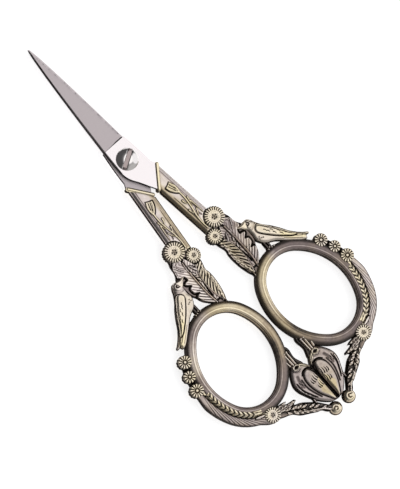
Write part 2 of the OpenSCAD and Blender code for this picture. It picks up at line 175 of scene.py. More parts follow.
class StageSettings(bpy.types.PropertyGroup):
    """Camera and studio."""

    lean: angle_of("Lean", 11.5, "Lean of the camera to the left of upright")
    distance: FloatProperty(name="Distance", default=0.9, unit="LENGTH", description="Camera to the scissors")
    frame_height: length_of("Frame height", 131.1, "Height of the picture at the screw's top")
    light: FloatProperty(name="Light", default=1.1, min=0, description="Strength of the studio's soft light")


def unit(turn):
    """Unit vector, or one for each turn, at an angle in degrees."""
    return np.stack([np.cos(np.radians(turn)), np.sin(np.radians(turn))], -1)


def turned(points, turn):
    """Points turned about the origin by an angle in degrees."""
    c, s = unit(turn)
    points = np.asarray(points, float)
    return np.stack([points[..., 0] * c - points[..., 1] * s, points[..., 0] * s + points[..., 1] * c], -1)


class Plan:
    """Anchor points and curves of the right handle, worked out from its sizes."""

    def __init__(self, sizes):
        """Works them out, in millimetres and degrees."""
        self.grain = sizes.grain / MM
        self.bar = sizes.bar_width / MM
        # The bow is an oval of four arcs: two at its ends and two along its sides
        a = (sizes.hole_length + sizes.bar_width) / MM / 2
        b = (sizes.hole_width + sizes.bar_width) / MM / 2
        h = math.hypot(a, b)
        self.end_r = (h * h - (a - b) * h) / (2 * a)
        self.side_r = (h * h + (a - b) * h) / (2 * b)
        self.end_c = a - self.end_r
        self.side_c = self.side_r - b
        self.joint = math.degrees(math.atan2(self.side_c, self.end_c))
        self.long_axis = 90 + math.degrees(sizes.bow_lean)
        self.splay = math.degrees(sizes.splay)
        self.shank_half = sizes.shank_width / MM / 2
        # The bow is laid out round the origin, and then moved to its gap and height
        self.centre = np.zeros(2)
        inner = self.rim(180, self.bar / 2)[0]
        upper = self.rim(90, self.bar / 2)[1]
        self.centre = np.array([sizes.bow_gap / MM / 2 - inner, -sizes.bow_top / MM - upper])
        self.collar_top = np.array([5.4, -sizes.collar_start / MM])
        self.collar_foot = np.array([0.75, self.collar_top[1] - 6.2])
        run = self.collar_foot - self.collar_top
        self.collar_length = np.linalg.norm(run)
        self.collar_dir = run / self.collar_length
        self.collar_out = np.array([-self.collar_dir[1], self.collar_dir[0]])
        self.collar_w = sizes.collar_width / MM
        self.big_daisy = self.on_shank(27.4, 2.16)
        self.small_daisy = self.on_shank(31, -1.7)
        # Centre, radius and petals of each
        self.rim_daisies = [
            (self.rim(30.2, 2.12), 1.9, 13),
            (self.rim(18.6, 2.12), 1.72, 11),
            (self.rim(6.8, 2.16), 1.95, 13),
        ]
        self.foot_daisy = self.rim(278.8, self.bar / 2 + 0.95)
        self.perch = self.rim(86, self.bar / 2)
        self.ball = np.array([2.45, self.foot_daisy[1] - 10.1])

    def rim(self, turn, out):
        """Points beside the bow where its outward normal is at turn, out from the bar's centre line."""
        turn = np.asarray(turn, float)
        local = (turn - self.long_axis + 180) % 360 - 180
        near_end = np.abs(local) <= self.joint
        far_end = np.abs(local) >= 180 - self.joint
        at_end = near_end | far_end
        lengthwise = np.where(near_end, self.end_c, np.where(far_end, -self.end_c, 0))
        across = np.where(at_end, 0, np.where(local > 0, -self.side_c, self.side_c))
        radius = np.where(at_end, self.end_r, self.side_r)
        hub = turned(np.stack([lengthwise, across], -1), self.long_axis)
        return self.centre + hub + (radius + out)[..., None] * unit(turn)

    def on_shank(self, down, across):
        """Point down along the shank from the pivot's level, and across it outwards."""
        c, s = unit(self.splay)
        return np.array([2.05 + down * s + across * c, -down * c + across * s])

    def bow_ring(self):
        """Ring just inside the outer edge of the bow's bar, where the forms beside it end."""
        return self.rim(np.arange(0, 360, 2), self.bar / 2 - 0.25)


def curve(points, closed=False, steps=6):
    """Smooth curve through points, with some steps from each to the next."""
    p = np.asarray(points, float)
    ends = (p[-1:], p[:2]) if closed else (2 * p[:1] - p[1:2], 2 * p[-1:] - p[-2:-1])
    q = np.vstack([ends[0], p, ends[1]])
    t = (np.arange(steps) / steps)[:, None]
    pieces = [
        0.5 * (2 * b + (c - a) * t + (2 * a - 5 * b + 4 * c - d) * t**2 + (3 * b - a - 3 * c + d) * t**3)
        for a, b, c, d in zip(q[:-3], q[1:-2], q[2:-1], q[3:])
    ]
    return np.vstack(pieces if closed else pieces + [p[-1:]])


def ring_at(points, at, steps=5):
    """Smooth closed ring through points that are measured from a place."""
    return curve(np.array(points) + at, True, steps)


def resampled(ring, step):
    """Points round a closed ring, no further apart than step."""
    out = []
    for a, b in zip(ring, np.roll(ring, -1, 0)):
        count = max(1, math.ceil(np.linalg.norm(b - a) / step))
        out.append(a + (b - a) * (np.arange(count) / count)[:, None])
    return np.vstack(out)


def blocks(points, width):
    """The points in blocks small enough to compare with a path of that many runs."""
    return np.array_split(points, len(points) * width // BLOCK_SIZE + 1)


def along(points, path):
    """Each point's distance from a path, and its share of the way along it at the nearest place."""
    start, run = path[:-1], np.diff(path, axis=0)
    length = np.maximum(np.linalg.norm(run, axis=1), 1e-9)
    begun = np.concatenate([[0], np.cumsum(length)[:-1]])
    gaps, shares = [], []
    for block in blocks(points, len(run)):
        away = block[:, None] - start
        share = np.clip((away * run).sum(2) / length**2, 0, 1)
        gap = np.linalg.norm(away - share[..., None] * run, axis=2)
        best = gap.argmin(1)
        rows = np.arange(len(block))
        gaps.append(gap[rows, best])
        shares.append((begun[best] + share[rows, best] * length[best]) / length.sum())
    return np.concatenate(gaps), np.concatenate(shares)


def closed_gap(points, ring):
    """Each point's distance from a closed ring."""
    return along(points, np.vstack([ring, ring[:1]]))[0]


def inside(points, ring):
    """Which points lie inside a closed ring."""
    (ax, ay), (bx, by) = ring.T, np.roll(ring, -1, 0).T
    rise = np.where(by == ay, 1, by - ay)
    found = []
    for block in blocks(points, len(ring)):
        x, y = block[:, :1], block[:, 1:]
        crossed = ((ay > y) != (by > y)) & (x < (bx - ax) * (y - ay) / rise + ax)
        found.append(crossed.sum(1) % 2 == 1)
    return np.concatenate(found)


def dome(x):
    """Round profile, 1 in the middle and 0 from 1 on."""
    return np.sqrt(np.clip(1 - x * x, 0, 1))


def bell(x):
    """Soft profile, 1 in the middle and 0 from 1 on."""
    return np.clip(1 - x * x, 0, 1) ** 2


def ramp(x, low, high):
    """Smooth step from 0 at low to 1 at high."""
    t = np.clip((x - low) / (high - low), 0, 1)
    return t * t * (3 - 2 * t)


class Relief:
    """A form with a height over its plan, raised alike on both faces of the casting."""

    # Share of a step that the even points keep clear of any line
    clearance = 0.55
    # Depth over which the lip of a form is darkened as painted shade
    lip_shade_depth = (0.02, 0.34)

    def __init__(self, outline, cuts=(), creases=(), *, step):
        """Fills an outline, less its cuts, with faces about a step wide that keep to the creases."""
        ring = resampled(np.asarray(outline, float), step)
        cut_rings = [resampled(np.asarray(cut, float), step) for cut in cuts]
        loops = [ring] + cut_rings
        lines = loops + [np.asarray(crease, float) for crease in creases]
        grid = self.hexagons(ring, step)
        grid = grid[inside(grid, ring)]
        for loop in loops:
            grid = grid[closed_gap(grid, loop) > self.clearance * step]
        for loop in cut_rings:
            grid = grid[~inside(grid, loop)]
        edges, base = [], 0
        for number, part in enumerate(lines):
            last = len(part) if number < len(loops) else len(part) - 1
            edges += [(base + i, base + (i + 1) % len(part)) for i in range(last)]
            base += len(part)
        vectors = [Vector(p) for p in np.vstack(lines + [grid])]
        found, _, triangles, *_ = delaunay_2d_cdt(vectors, edges, [], 0, 1e-5, False)
        plan = np.array([v[:] for v in found])
        faces = np.array(triangles)
        middle = plan[faces].mean(1)
        kept = inside(middle, ring)
        for loop in cut_rings:
            kept &= ~inside(middle, loop)
        used, faces = np.unique(faces[kept], return_inverse=True)
        self.faces = faces.reshape(-1, 3)
        self.plan = plan[used]
        self.depth = closed_gap(self.plan, ring)
        count = len(self.plan)
        self.base = np.zeros(count)
        self.relief = np.zeros(count)
        # Black finish, and painted shade, that darken each point
        self.finish_and_shade = np.zeros(count)
        self.brass = np.zeros(count)
        self.shadow = np.zeros(count)

    @staticmethod
    def hexagons(ring, step):
        """Even points over the box of a ring."""
        (x0, y0), (x1, y1) = ring.min(0), ring.max(0)
        xs = np.arange(x0, x1, step)
        ys = np.arange(y0, y1, step * math.sqrt(3) / 2)
        shift = (np.arange(len(ys)) % 2)[:, None] * step / 2
        x = xs[None] + shift
        return np.stack([x, np.broadcast_to(ys[:, None], x.shape)], -1).reshape(-1, 2)

    def swell(self, low, high, width):
        """Raises the form from low at its edge to high at some width inside it."""
        self.base = low + (high - low) * dome(1 - np.clip(self.depth / width, 0, 1))

    def close_to(self, path, reach):
        """Which points lie in the box round a path, grown by a reach."""
        low, high = path.min(0) - reach, path.max(0) + reach
        return np.nonzero(((self.plan > low) & (self.plan < high)).all(1))[0]

    def strip(self, path, width, ends):
        """The points near a path, each one's distance from it, and half the strip's width there."""
        path = np.asarray(path, float)
        near = self.close_to(path, width)
        gap, share = along(self.plan[near], path)
        return near, gap, width / 2 * (ends[0] + (ends[1] - ends[0]) * share)

    def within(self, ring):
        """Which points lie inside a closed ring, and each one's distance from it."""
        ring = np.asarray(ring, float)
        return inside(self.plan, ring), closed_gap(self.plan, ring)

    def ridge(self, path, width, lift, ends=(1, 1), outline=0.6):
        """Lays a round ridge along a path, whose width runs from one share to another."""
        near, gap, half = self.strip(path, width, ends)
        rise = lift * ramp(1 - gap / np.maximum(half, FINEST), 0, 0.6)
        on = gap < half
        picked = near[on]
        self.relief[picked] = np.maximum(self.relief[picked], rise[on])
        beside = bell(np.maximum(gap - half, 0) / RIDGE_LINE)
        self.finish_and_shade[near] = np.where(on, RUBBED, np.maximum(self.finish_and_shade[near], outline * beside))

    def groove(self, path, width, depth, finish_and_shade=0.8, ends=(1, 1)):
        """Cuts a soft groove along a path and leaves black finish in it."""
        near, gap, half = self.strip(path, width, ends)
        cut = bell(gap / np.maximum(half, FINEST))
        self.relief[near] -= depth * cut
        self.finish_and_shade[near] = np.maximum(self.finish_and_shade[near], finish_and_shade * np.sqrt(cut))

    def grooves(self, at, *cuts):
        """Cuts curved grooves, each given by its points from a place and then as groove takes it."""
        for points, *rest in cuts:
            self.groove(curve(points) + at, *rest)

    def ridges(self, at, *raised):
        """Lays curved ridges, each given by its points from a place and then as ridge takes it."""
        for points, *rest in raised:
            self.ridge(curve(points) + at, *rest)

    def mound(self, at, radius, lift):
        """Lays a round mound on the form."""
        near = self.close_to(np.atleast_2d(at), radius)
        gap = np.linalg.norm(self.plan[near] - at, axis=1) / radius
        on = gap < 1
        picked = near[on]
        self.relief[picked] = np.maximum(self.relief[picked], lift * dome(gap[on]))

    def leaf(self, foot, turn, length, width, lift, veins=0, rib=True):
        """Lays a pointed leaf, crowned, with a sunk midrib and slanted veins."""
        u, v = turned(self.plan - np.asarray(foot, float), -turn).T
        u = u / length
        half = width / 2 * np.sin(np.pi * np.clip(u, 0, 1) ** 0.8)
        on = (np.abs(v) < half) & (u > 0) & (u < 1)
        x = v[on] / half[on]
        rise = lift * (0.45 + 0.55 * dome(x))
        if rib:
            rise -= 0.35 * lift * bell(v[on] / (0.13 * width))
        if veins:
            rise += 0.16 * lift * np.cos(2 * np.pi * (u[on] * veins - np.abs(x) * 0.9))
        self.relief[on] = rise
        self.finish_and_shade[on] = np.clip(np.abs(x) - 0.75, 0, 1)
        rim = (~on) & (np.abs(v) < half + LEAF_LINE) & (u > -0.02) & (u < 1.04)
        self.finish_and_shade[rim] = np.maximum(self.finish_and_shade[rim], 0.6)

    def barbs(self, ring, rib, pitch, slant, lift, *, black, bright, fade=0.25):
        """Fills a ring with barbs that leave a rib at a slant."""
        ring, rib = np.asarray(ring, float), np.asarray(rib, float)
        near = self.close_to(ring, 0)
        near = near[inside(self.plan[near], ring)]
        _, x = self.slanted(near, rib, pitch, slant)
        rim = closed_gap(self.plan[near], ring)
        self.relief[near] = lift * dome(0.98 * x) * (0.5 + 0.5 * ramp(rim, 0, fade))
        self.finish_and_shade[near] = black * ramp(np.abs(x), 0.45, 0.85) - bright * bell(x / 0.6)

    def slanted(self, near, rib, pitch, slant):
        """Distance of points from a rib, and their place across the barb that they lie on, from -1 to 1."""
        gap, share = along(self.plan[near], rib)
        down = share * np.linalg.norm(np.diff(rib, axis=0), axis=1).sum()
        return gap, 2 * (((down + slant * gap) / pitch) % 1) - 1

    def tint(self, ring, amount, width=0.3):
        """Turns the metal brassy inside a ring."""
        on, gap = self.within(ring)
        self.brass = np.where(on, self.brass + (amount - self.brass) * ramp(gap, 0, width), self.brass)

    def pillow(self, ring, low, rise, width):
        """Raises a pillow, rounded over a width inside a ring, and says what within says of the ring."""
        on, gap = self.within(ring)
        self.relief[on] = low + rise * dome(1 - np.clip(gap[on] / width, 0, 1))
        return on, gap

    def sides(self):
        """The sides of every face, as pairs of points."""
        return np.vstack([self.faces[:, [0, 1]], self.faces[:, [1, 2]], self.faces[:, [2, 0]]])

    def blurred(self, values, rounds):
        """Values averaged with their neighbours over the mesh."""
        links = np.unique(np.sort(self.sides(), 1), axis=0)
        count = len(self.plan)
        degree = np.bincount(links.ravel(), minlength=count)
        for _ in range(rounds):
            total = np.bincount(links[:, 0], values[links[:, 1]], count)
            total += np.bincount(links[:, 1], values[links[:, 0]], count)
            values = 0.4 * values + 0.6 * total / np.maximum(degree, 1)
        return values

    def shell(self, tone=0.5, contrast=3.2, edge=0.5, rounds=14, bottom=None, top=None):
        """Corners, faces, and finish with painted shade, of the closed form."""
        height = np.clip(self.base + self.relief, LEAST, TOP)
        cavity = height - self.blurred(height, rounds)
        lip_shade = 1 - ramp(self.depth, *self.lip_shade_depth)
        # edge darkens the lip of the form as painted shade
        shade = np.clip(tone + contrast * cavity - FINISH_AND_SHADE_DEPTH * self.finish_and_shade - edge * lip_shade, 0, 1)
        high = MID_Z + height if top is None else top
        low = MID_Z - height if bottom is None else bottom
        runs = [tuple(run) for run in self.sides().tolist()]
        seen = set(runs)
        border = np.array([(a, b) for a, b in runs if (b, a) not in seen])
        lip = np.unique(border)
        count, more = len(self.plan), len(lip)
        place = np.zeros(count, int)
        place[lip] = np.arange(more)
        step = np.minimum(LIP, 0.2 * (high[lip] - low[lip]))
        corners = np.vstack([
            np.column_stack([self.plan, high]),
            np.column_stack([self.plan, low]),
            np.column_stack([self.plan[lip], high[lip] - step]),
            np.column_stack([self.plan[lip], low[lip] + step]),
        ])
        a, b = border.T
        # Down the wall from the upper face over the two chamfers to the lower face
        upper, lower = 2 * count + place, 2 * count + more + place
        rows = [(b, a), (upper[b], upper[a]), (lower[b], lower[a]), (count + b, count + a)]
        walls = [np.column_stack([up[0], up[1], down[1], down[0]]) for up, down in zip(rows, rows[1:])]
        faces = self.faces.tolist() + (self.faces[:, ::-1] + count).tolist() + np.vstack(walls).tolist()
        # The walls take WALL_TONE: patina with painted shade
        tones = np.concatenate([shade, shade, np.full(2 * more, WALL_TONE)])
        brass = np.concatenate([self.brass, self.brass, self.brass[lip] * 0.3, self.brass[lip] * 0.3])
        return corners, faces, tones, brass


def made(name, corners, faces, materials, tones=None, brass=None, smooth=55):
    """A mesh object from corners in millimetres."""
    mesh = bpy.data.meshes.new(name)
    mesh.from_pydata((np.asarray(corners, float) * MM).tolist(), [], [tuple(f) for f in faces])
    for key, values in (("tone", tones), ("brass", brass)):
        if values is not None:
            carried = mesh.attributes.new(key, "FLOAT", "POINT")
            carried.data.foreach_set("value", np.asarray(values, np.float32))
    mesh.validate()
    mesh.shade_smooth()
    mesh.set_sharp_from_angle(angle=math.radians(smooth))
    for material in materials:
        mesh.materials.append(material)
    piece = bpy.data.objects.new(name, mesh)
    bpy.context.scene.collection.objects.link(piece)
    return piece


def bands(rows, count, base=0, closed=False):
    """Faces between rows of corners, each of which runs round a ring of that many."""
    return [
        [base + k * count + i, base + k * count + (i + 1) % count,
         base + (k + 1) % rows * count + (i + 1) % count, base + (k + 1) % rows * count + i]
        for k in range(rows if closed else rows - 1) for i in range(count)
    ]


def placed(piece, body, slot, *nodes):
    """Gives a piece its body and hides the CAD nodes that it stands for; slot, its finish, is not used."""
    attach(piece, body)
    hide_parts(*nodes)


def pair(context, node, shell, slot, smooth=55, left_tones=None):
    """The right form of a node and its mirror image for the left handle, which may have tones of its own."""
    material = cast_metal(context.scene.scissors_finish)
    corners, faces, tones, brass = shell
    right = made(f"right_{node}_cast", corners, faces, [material], tones, brass, smooth)
    placed(right, RIGHT, slot, f"right_{node}")
    mirrored = corners * np.array([-1, 1, 1])
    tones = tones if left_tones is None else left_tones
    left = made(f"left_{node}_cast", mirrored, [f[::-1] for f in faces], [material], tones, brass, smooth)
    placed(left, LEFT, slot, f"left_{node}")


def joined(*shells):
    """Several shells as one."""
    corners, faces, tones, brass = [], [], [], []
    for shell in shells:
        base = sum(len(c) for c in corners)
        corners.append(shell[0])
        faces += [[base + i for i in face] for face in shell[1]]
        tones.append(shell[2])
        brass.append(shell[3])
    return np.vstack(corners), faces, np.concatenate(tones), np.concatenate(brass)


def wire(tree, node, inputs):
    """Links a node's inputs to the sockets given for them, or sets them to the values given."""
    for key, value in inputs.items():
        if isinstance(value, bpy.types.NodeSocket):
            tree.links.new(value, node.inputs[key])
        else:
            node.inputs[key].default_value = value


def add_node(tree, kind, inputs=None, **settings):
    """A shader node with its settings, and its inputs linked or set."""
    node = tree.nodes.new("ShaderNode" + kind)
    for name, value in settings.items():
        setattr(node, name, value)
    wire(tree, node, inputs or {})
    return node


def new_material(name):
    """A material with an empty node tree, its output and its metal shader."""
    material = bpy.data.materials.new(name)
    material.use_nodes = True
    tree = material.node_tree
    tree.nodes.clear()
    shader = add_node(tree, "BsdfPrincipled", {"Metallic": 1})
    add_node(tree, "OutputMaterial", {0: shader.outputs[0]})
    return material, tree, shader


def noise(tree, scale, stretch=(1, 1, 1), detail=3):
    """Noise in the object's own space."""
    place = add_node(tree, "TexCoord").outputs["Object"]
    mapped = add_node(tree, "Mapping", {0: place, "Scale": stretch}).outputs[0]
    return add_node(tree, "TexNoise", {0: mapped, "Scale": scale, "Detail": detail}).outputs[0]


def maths(tree, operation, *values):
    """The result of an operation on sockets or numbers."""
    return add_node(tree, "Math", dict(enumerate(values)), operation=operation).outputs[0]


def sum_of(tree, value, other, share):
    """A value with a share of another added to it, centred on nought."""
    return maths(tree, "MULTIPLY_ADD", maths(tree, "SUBTRACT", other, 0.5), share, value)


def attribute(tree, name):
    """A value that the mesh carries."""
    return add_node(tree, "Attribute", attribute_name=name).outputs["Fac"]


def colour_ramp(tree, value, stops):
    """Colours along a value, as (place, colour) stops."""
    node = add_node(tree, "ValToRGB", {0: value})
    elements = node.color_ramp.elements
    while len(elements) < len(stops):
        elements.new(0.5)
    for element, (place, colour) in zip(elements, stops):
        element.position = place
        element.color = (*colour, 1)
    return node.outputs[0]


def span(tree, value, low, high, start=0, end=1):
    """A value from one range carried over to another."""
    ends = {"From Min": start, "From Max": end, "To Min": low, "To Max": high}
    return add_node(tree, "MapRange", {0: value, **ends}).outputs[0]


def mixed(tree, share, first, second):
    """Two colours mixed by a share. The node's colour sockets are inputs 6 and 7 and output 2."""
    return add_node(tree, "Mix", {0: share, 6: first, 7: second}, data_type="RGBA").outputs[2]


def bump(tree, value, distance, strength):
    """A normal with fine relief."""
    return add_node(tree, "Bump", {"Height": value, "Distance": distance, "Strength": strength}).outputs[0]


def cast_metal(colours):
    """Antiqued brass, black in its recesses and rubbed bright on its ridges."""
    material = bpy.data.materials.get("antiqued_brass")
    if material:
        return material
    material, tree, shader = new_material("antiqued_brass")
    # The tone attribute carries the forms' painted shade and highlights as well as their finish
    # Fine and coarse mottling in how rubbed and in how brassy the metal is
    tone = sum_of(tree, sum_of(tree, attribute(tree, "tone"), noise(tree, 1400), 0.2), noise(tree, 260), 0.2)
    warm = sum_of(tree, sum_of(tree, attribute(tree, "brass"), noise(tree, 420), 0.5), noise(tree, 150), 1.0)
    # From black finish in the recesses to the sides' colour, which holds painted shade
    recess_and_side_shade = [(0.02, tuple(colours.recess)), (0.2, tuple(colours.wall))]
    grey, brass = (
        colour_ramp(tree, tone, recess_and_side_shade + [(0.5, tuple(field)), (0.9, tuple(crest))])
        for field, crest in ((colours.grey_mid, colours.grey_crest), (colours.brass_mid, colours.brass_crest))
    )
    wire(tree, shader, {
        "Base Color": mixed(tree, warm, grey, brass),
        "Roughness": span(tree, tone, 0.42, 0.17),
        "Metallic": span(tree, tone, 0, 1, 0.12, 0.36),
        "Specular IOR Level": 0,
        "Specular Tint": (0.4, 0.38, 0.36, 1),
        "Normal": bump(tree, noise(tree, 5200, detail=4), 0.00003, 0.3),
    })
    return material


def steel(name, colour, rough, grain, mark, rim=1.0):
    """Steel with fine marks across the blade, and a share of its shine left at a glancing angle."""
    material, tree, shader = new_material(name)
    marks = noise(tree, 900, (0.35, 9, 1), 5)
    dark, bright = tuple(c * (1 - mark) for c in colour), tuple(min(1, c * (1 + mark)) for c in colour)
    tint = colour_ramp(tree, marks, [(0.25, dark), (0.75, bright)])
    wire(tree, shader, {
        "Base Color": tint,
        "Roughness": span(tree, marks, rough * 0.85, rough * 1.15),
        "Specular Tint": (rim, rim, rim, 1),
        "Normal": bump(tree, marks, 0.00002, grain),
    })
    return material


class SCISSORS_OT_blades(bpy.types.Operator):
    """Model the two ground steel blades"""

    bl_idname = "scissors.blades"
    bl_label = "Blades"

    # How the blade widens from its tip, the width of the step where its ground face begins, and the bore
    taper = 0.74
    plunge_width = 0.12
    bore = 1.7
    # The faces' materials, the sides' one dark as painted shade, and how level a face is that isn't a side
    satin, polished, side_steel = 0, 1, 2
    level = 0.3

    def execute(self, context):
        sizes = context.scene.scissors_blades
        plan = Plan(context.scene.scissors_handles)
        colours = context.scene.scissors_finish
        # Name, colour, roughness, depth and contrast of the marks, and shine left at a glancing angle
        materials = [
            steel("satin_steel", colours.ground, 0.36, 0.5, 0.05),
            steel("polished_steel", colours.polished, 0.12, 0.05, 0.01),
            steel("dark_blade_side", colours.blade_side_shade, 0.4, 0.2, 0.1, 0.15),
        ]
        corners, faces, kinds = self.blade(sizes, plan, UPPER_BOX[1][2] - UPPER_BOX[0][2])
        lower = ("lower_blade", LEFT, 180, LOWER_BOX[1][2])
        for name, body, turn, base in (("upper_blade", RIGHT, 0, UPPER_BOX[0][2]), lower):
            spun = corners @ np.array(Matrix.Rotation(math.radians(turn), 3, "Y")).T + (0, 0, base)
            piece = made(f"{name}_steel", spun, faces, materials, smooth=20)
            piece.data.polygons.foreach_set("material_index", kinds)
            placed(piece, body, "blade_steel", name)
        return {"FINISHED"}

    def blade(self, sizes, plan, stock):
        """Corners, faces and materials of the blade in the right handle, its inner face on z = 0."""
        length, ricasso = sizes.length / MM, sizes.ricasso / MM
        edge, spine, tip = sizes.edge_reach / MM, sizes.spine_reach / MM, sizes.tip_half / MM
        chamfer = sizes.chamfer / MM
        # The two sides of the ground face, from the tip down, with points closer together near the tip
        share = np.linspace(0, 1, 28) ** 1.5
        heights = length - (length - ricasso) * share
        edge_side = np.column_stack([tip + (edge - tip) * share**self.taper, heights])
        spine_side = np.column_stack([-tip - (spine - tip) * share**self.taper, heights])
        # Round the heel to the tang inside the collar, and back along the waist
        heel = curve([edge_side[-1], (4.1, 1.5), (4.45, -2), (4.62, -4.5)])
        tang_mid = (plan.collar_top + plan.collar_foot) / 2
        tang_end = tang_mid + 3 * unit(plan.splay - 90)
        side = 1.2 * plan.collar_dir
        near_foot = plan.collar_top + 0.93 * (plan.collar_foot - plan.collar_top)
        tang = [tang_mid - side, tang_end - side, tang_end + side, tang_mid + side]
        base = [plan.collar_top, *tang, near_foot]
        waist = (-0.05, 2.1 + 2 * plan.collar_top[1])
        back = curve([waist, (-1.6, -6.85), (-2.9, -4.75), (-3.55, -2.6), (-3.68, 0.5), spine_side[-1]])
        outline = np.vstack([edge_side, heel[1:], base, back[:-1], spine_side[::-1][:-1]])
        # Lines that the faces keep to: the plunge, the crown of the ground face and the bevel's end
        inset = spine_side + np.array([chamfer, 0])
        plunge = [
            np.array([(-spine - 0.5, y), (edge + 0.6, y)]) for y in (ricasso, ricasso + self.plunge_width)]
        crown = [inset[2:], np.column_stack([edge_side[4:, 0] - 0.3, heights[4:]])]
        fading = np.array([inset[-1] - (0, 0.02), (-3.52, -2.0)])
        hole = self.bore * unit(np.arange(0, 360, 12))
        form = Relief(outline, [hole], plunge + crown + [fading], step=0.5)
        x, y = form.plan.T
        fall = (stock - sizes.edge_stock / MM) / (edge + spine)
        ground = stock - 0.04 - (x + spine) * fall
        from_spine = along(form.plan, spine_side)[0]
        from_edge = along(form.plan, edge_side)[0]
        face = np.minimum(ground, 0.12 + 1.6 * from_edge)
        top = np.where(y > ricasso + self.plunge_width / 2, face, stock)
        bevel = stock - 0.55 * (1 - np.clip(from_spine / chamfer, 0, 1))
        top = np.where(y > ricasso - 0.01, np.minimum(top, bevel), top)
        corners, faces, _, _ = form.shell(bottom=np.zeros(len(top)), top=top)
        # The bevel along the spine and the strip where it fades out take the sides' dark steel, as painted
        # shade
        middle = np.array([corners[face].mean(0) for face in faces])
        normal = np.array([
            np.cross(corners[f[1]] - corners[f[0]], corners[f[-1]] - corners[f[0]]) for f in faces])
        up = normal[:, 2] / np.maximum(np.linalg.norm(normal, axis=1), 1e-12)
        ahead = middle[:, 1] > ricasso
        kinds = np.where((up < 0) | ahead, self.satin, self.polished)
        on_spine = ahead & (along(middle[:, :2], spine_side)[0] < chamfer * 0.97)
        strip = np.interp(middle[:, 1], *fading[::-1, ::-1].T)
        faded = (middle[:, 1] < ricasso) & (middle[:, 1] > fading[1, 1]) & (middle[:, 0] < strip)
        kinds[np.abs(up) < self.level] = self.side_steel
        kinds[(up > 0) & (on_spine | faded)] = self.side_steel
        return corners, faces, kinds.astype(np.int32)


class SCISSORS_OT_screw(bpy.types.Operator):
    """Model the domed, slotted pivot screw"""

    bl_idname = "scissors.screw"
    bl_label = "Pivot screw"

    # Width of the worn lip beside the slot, and radii of the threaded end and of the shoulder
    lip = 0.07
    thread = 1.3
    shoulder = 1.72

    def execute(self, context):
        sizes = context.scene.scissors_screw
        radius, high, rim = sizes.radius / MM, sizes.dome / MM, sizes.rim / MM
        top_z = SCREW_BOX[1][2]
        head_z = top_z - high - rim
        slot = sizes.slot_width / MM / 2
        turn = math.degrees(sizes.slot_turn)
        lines = [
            turned(np.array([(-radius - 1, y), (radius + 1, y)]), turn)
            for y in (-slot - self.lip, -slot, slot, slot + self.lip)
        ]
        form = Relief(radius * unit(np.arange(0, 360, 3)), creases=lines, step=0.3)
        x, y = turned(form.plan, -turn).T
        # A ball-shaped dome, rounded at its rim, with a slot whose edges are worn
        ball = (radius**2 + high**2) / (2 * high)
        r = np.hypot(x, y)
        crown = top_z - ball + np.sqrt(ball**2 - np.minimum(r, radius) ** 2)
        crown -= 0.1 * ramp(r, radius - 0.25, radius)
        floor = top_z - sizes.slot_depth / MM
        cut = np.abs(y) < slot + 0.01
        top = np.where(cut, np.minimum(crown, floor), crown - 0.05 * bell((np.abs(y) - slot) / 0.25))
        top = np.maximum(top, head_z + rim * 0.8)
        corners, faces, _, _ = form.shell(bottom=np.full(len(top), head_z), top=top)
        # The threaded end, and the smooth shoulder above the lower blade
        turns = unit(np.arange(0, 360, 10))
        step_z = LOWER_BOX[1][2]
        ends = [(1.0, 0.0), (1.25, 0.12), (self.thread, 0.3), (self.thread, step_z),
                (self.shoulder, step_z), (self.shoulder, head_z + 0.1)]
        shaft = np.vstack([np.column_stack([r * turns, np.full(len(turns), z)]) for r, z in ends])
        base, count = len(corners), len(turns)
        last = base + (len(ends) - 1) * count
        more = bands(len(ends), count, base)
        more += [list(range(base, base + count))[::-1], list(range(last, last + count))]
        colours = context.scene.scissors_finish
        materials = [
            steel("screw_steel", colours.screw, 0.09, 0.05, 0.03),
            steel("screw_slot", colours.slot, 0.3, 0.3, 0.1),
        ]
        piece = made("pivot_screw_steel", np.vstack([corners, shaft]), faces + more, materials, smooth=38)
        across = np.abs(y[form.faces].mean(1))
        kinds = np.zeros(len(faces) + len(more), np.int32)
        kinds[: len(across)] = across < slot
        piece.data.polygons.foreach_set("material_index", kinds)
        placed(piece, LEFT, "screw_steel", "pivot_screw")
        return {"FINISHED"}


class SCISSORS_OT_collars(bpy.types.Operator):
    """Model the bright bead across the top of each shank"""

    bl_idname = "scissors.collars"
    bl_label = "Collars"

    def execute(self, context):
        plan = Plan(context.scene.scissors_handles)
        half = plan.collar_w * 0.74
        foot = plan.collar_top + plan.collar_out * 0.05 - plan.collar_dir * 0.3
        reach = plan.collar_length + 0.3
        heading = math.degrees(math.atan2(plan.collar_dir[1], plan.collar_dir[0]))
        round_end = half * unit(heading + np.arange(-90, 91, 15))
        near_end, far_end = foot + plan.collar_dir * half, foot + plan.collar_dir * (reach - half)
        form = Relief(np.vstack([far_end + round_end, near_end - round_end]), step=0.1)
        form.swell(TOP - 0.5, TOP, half)
        across = (form.plan - foot) @ plan.collar_out
        # A painted shadow darkens the bead's side towards the blade
        form.finish_and_shade = 0.5 * (1 - ramp(across, -half * 0.9, -half * 0.5))
        form.brass[:] = 0.75
        shell = form.shell(tone=1.0, contrast=0.5, edge=0.12)
        pair(context, "collar", shell, "antique_brass")
        return {"FINISHED"}


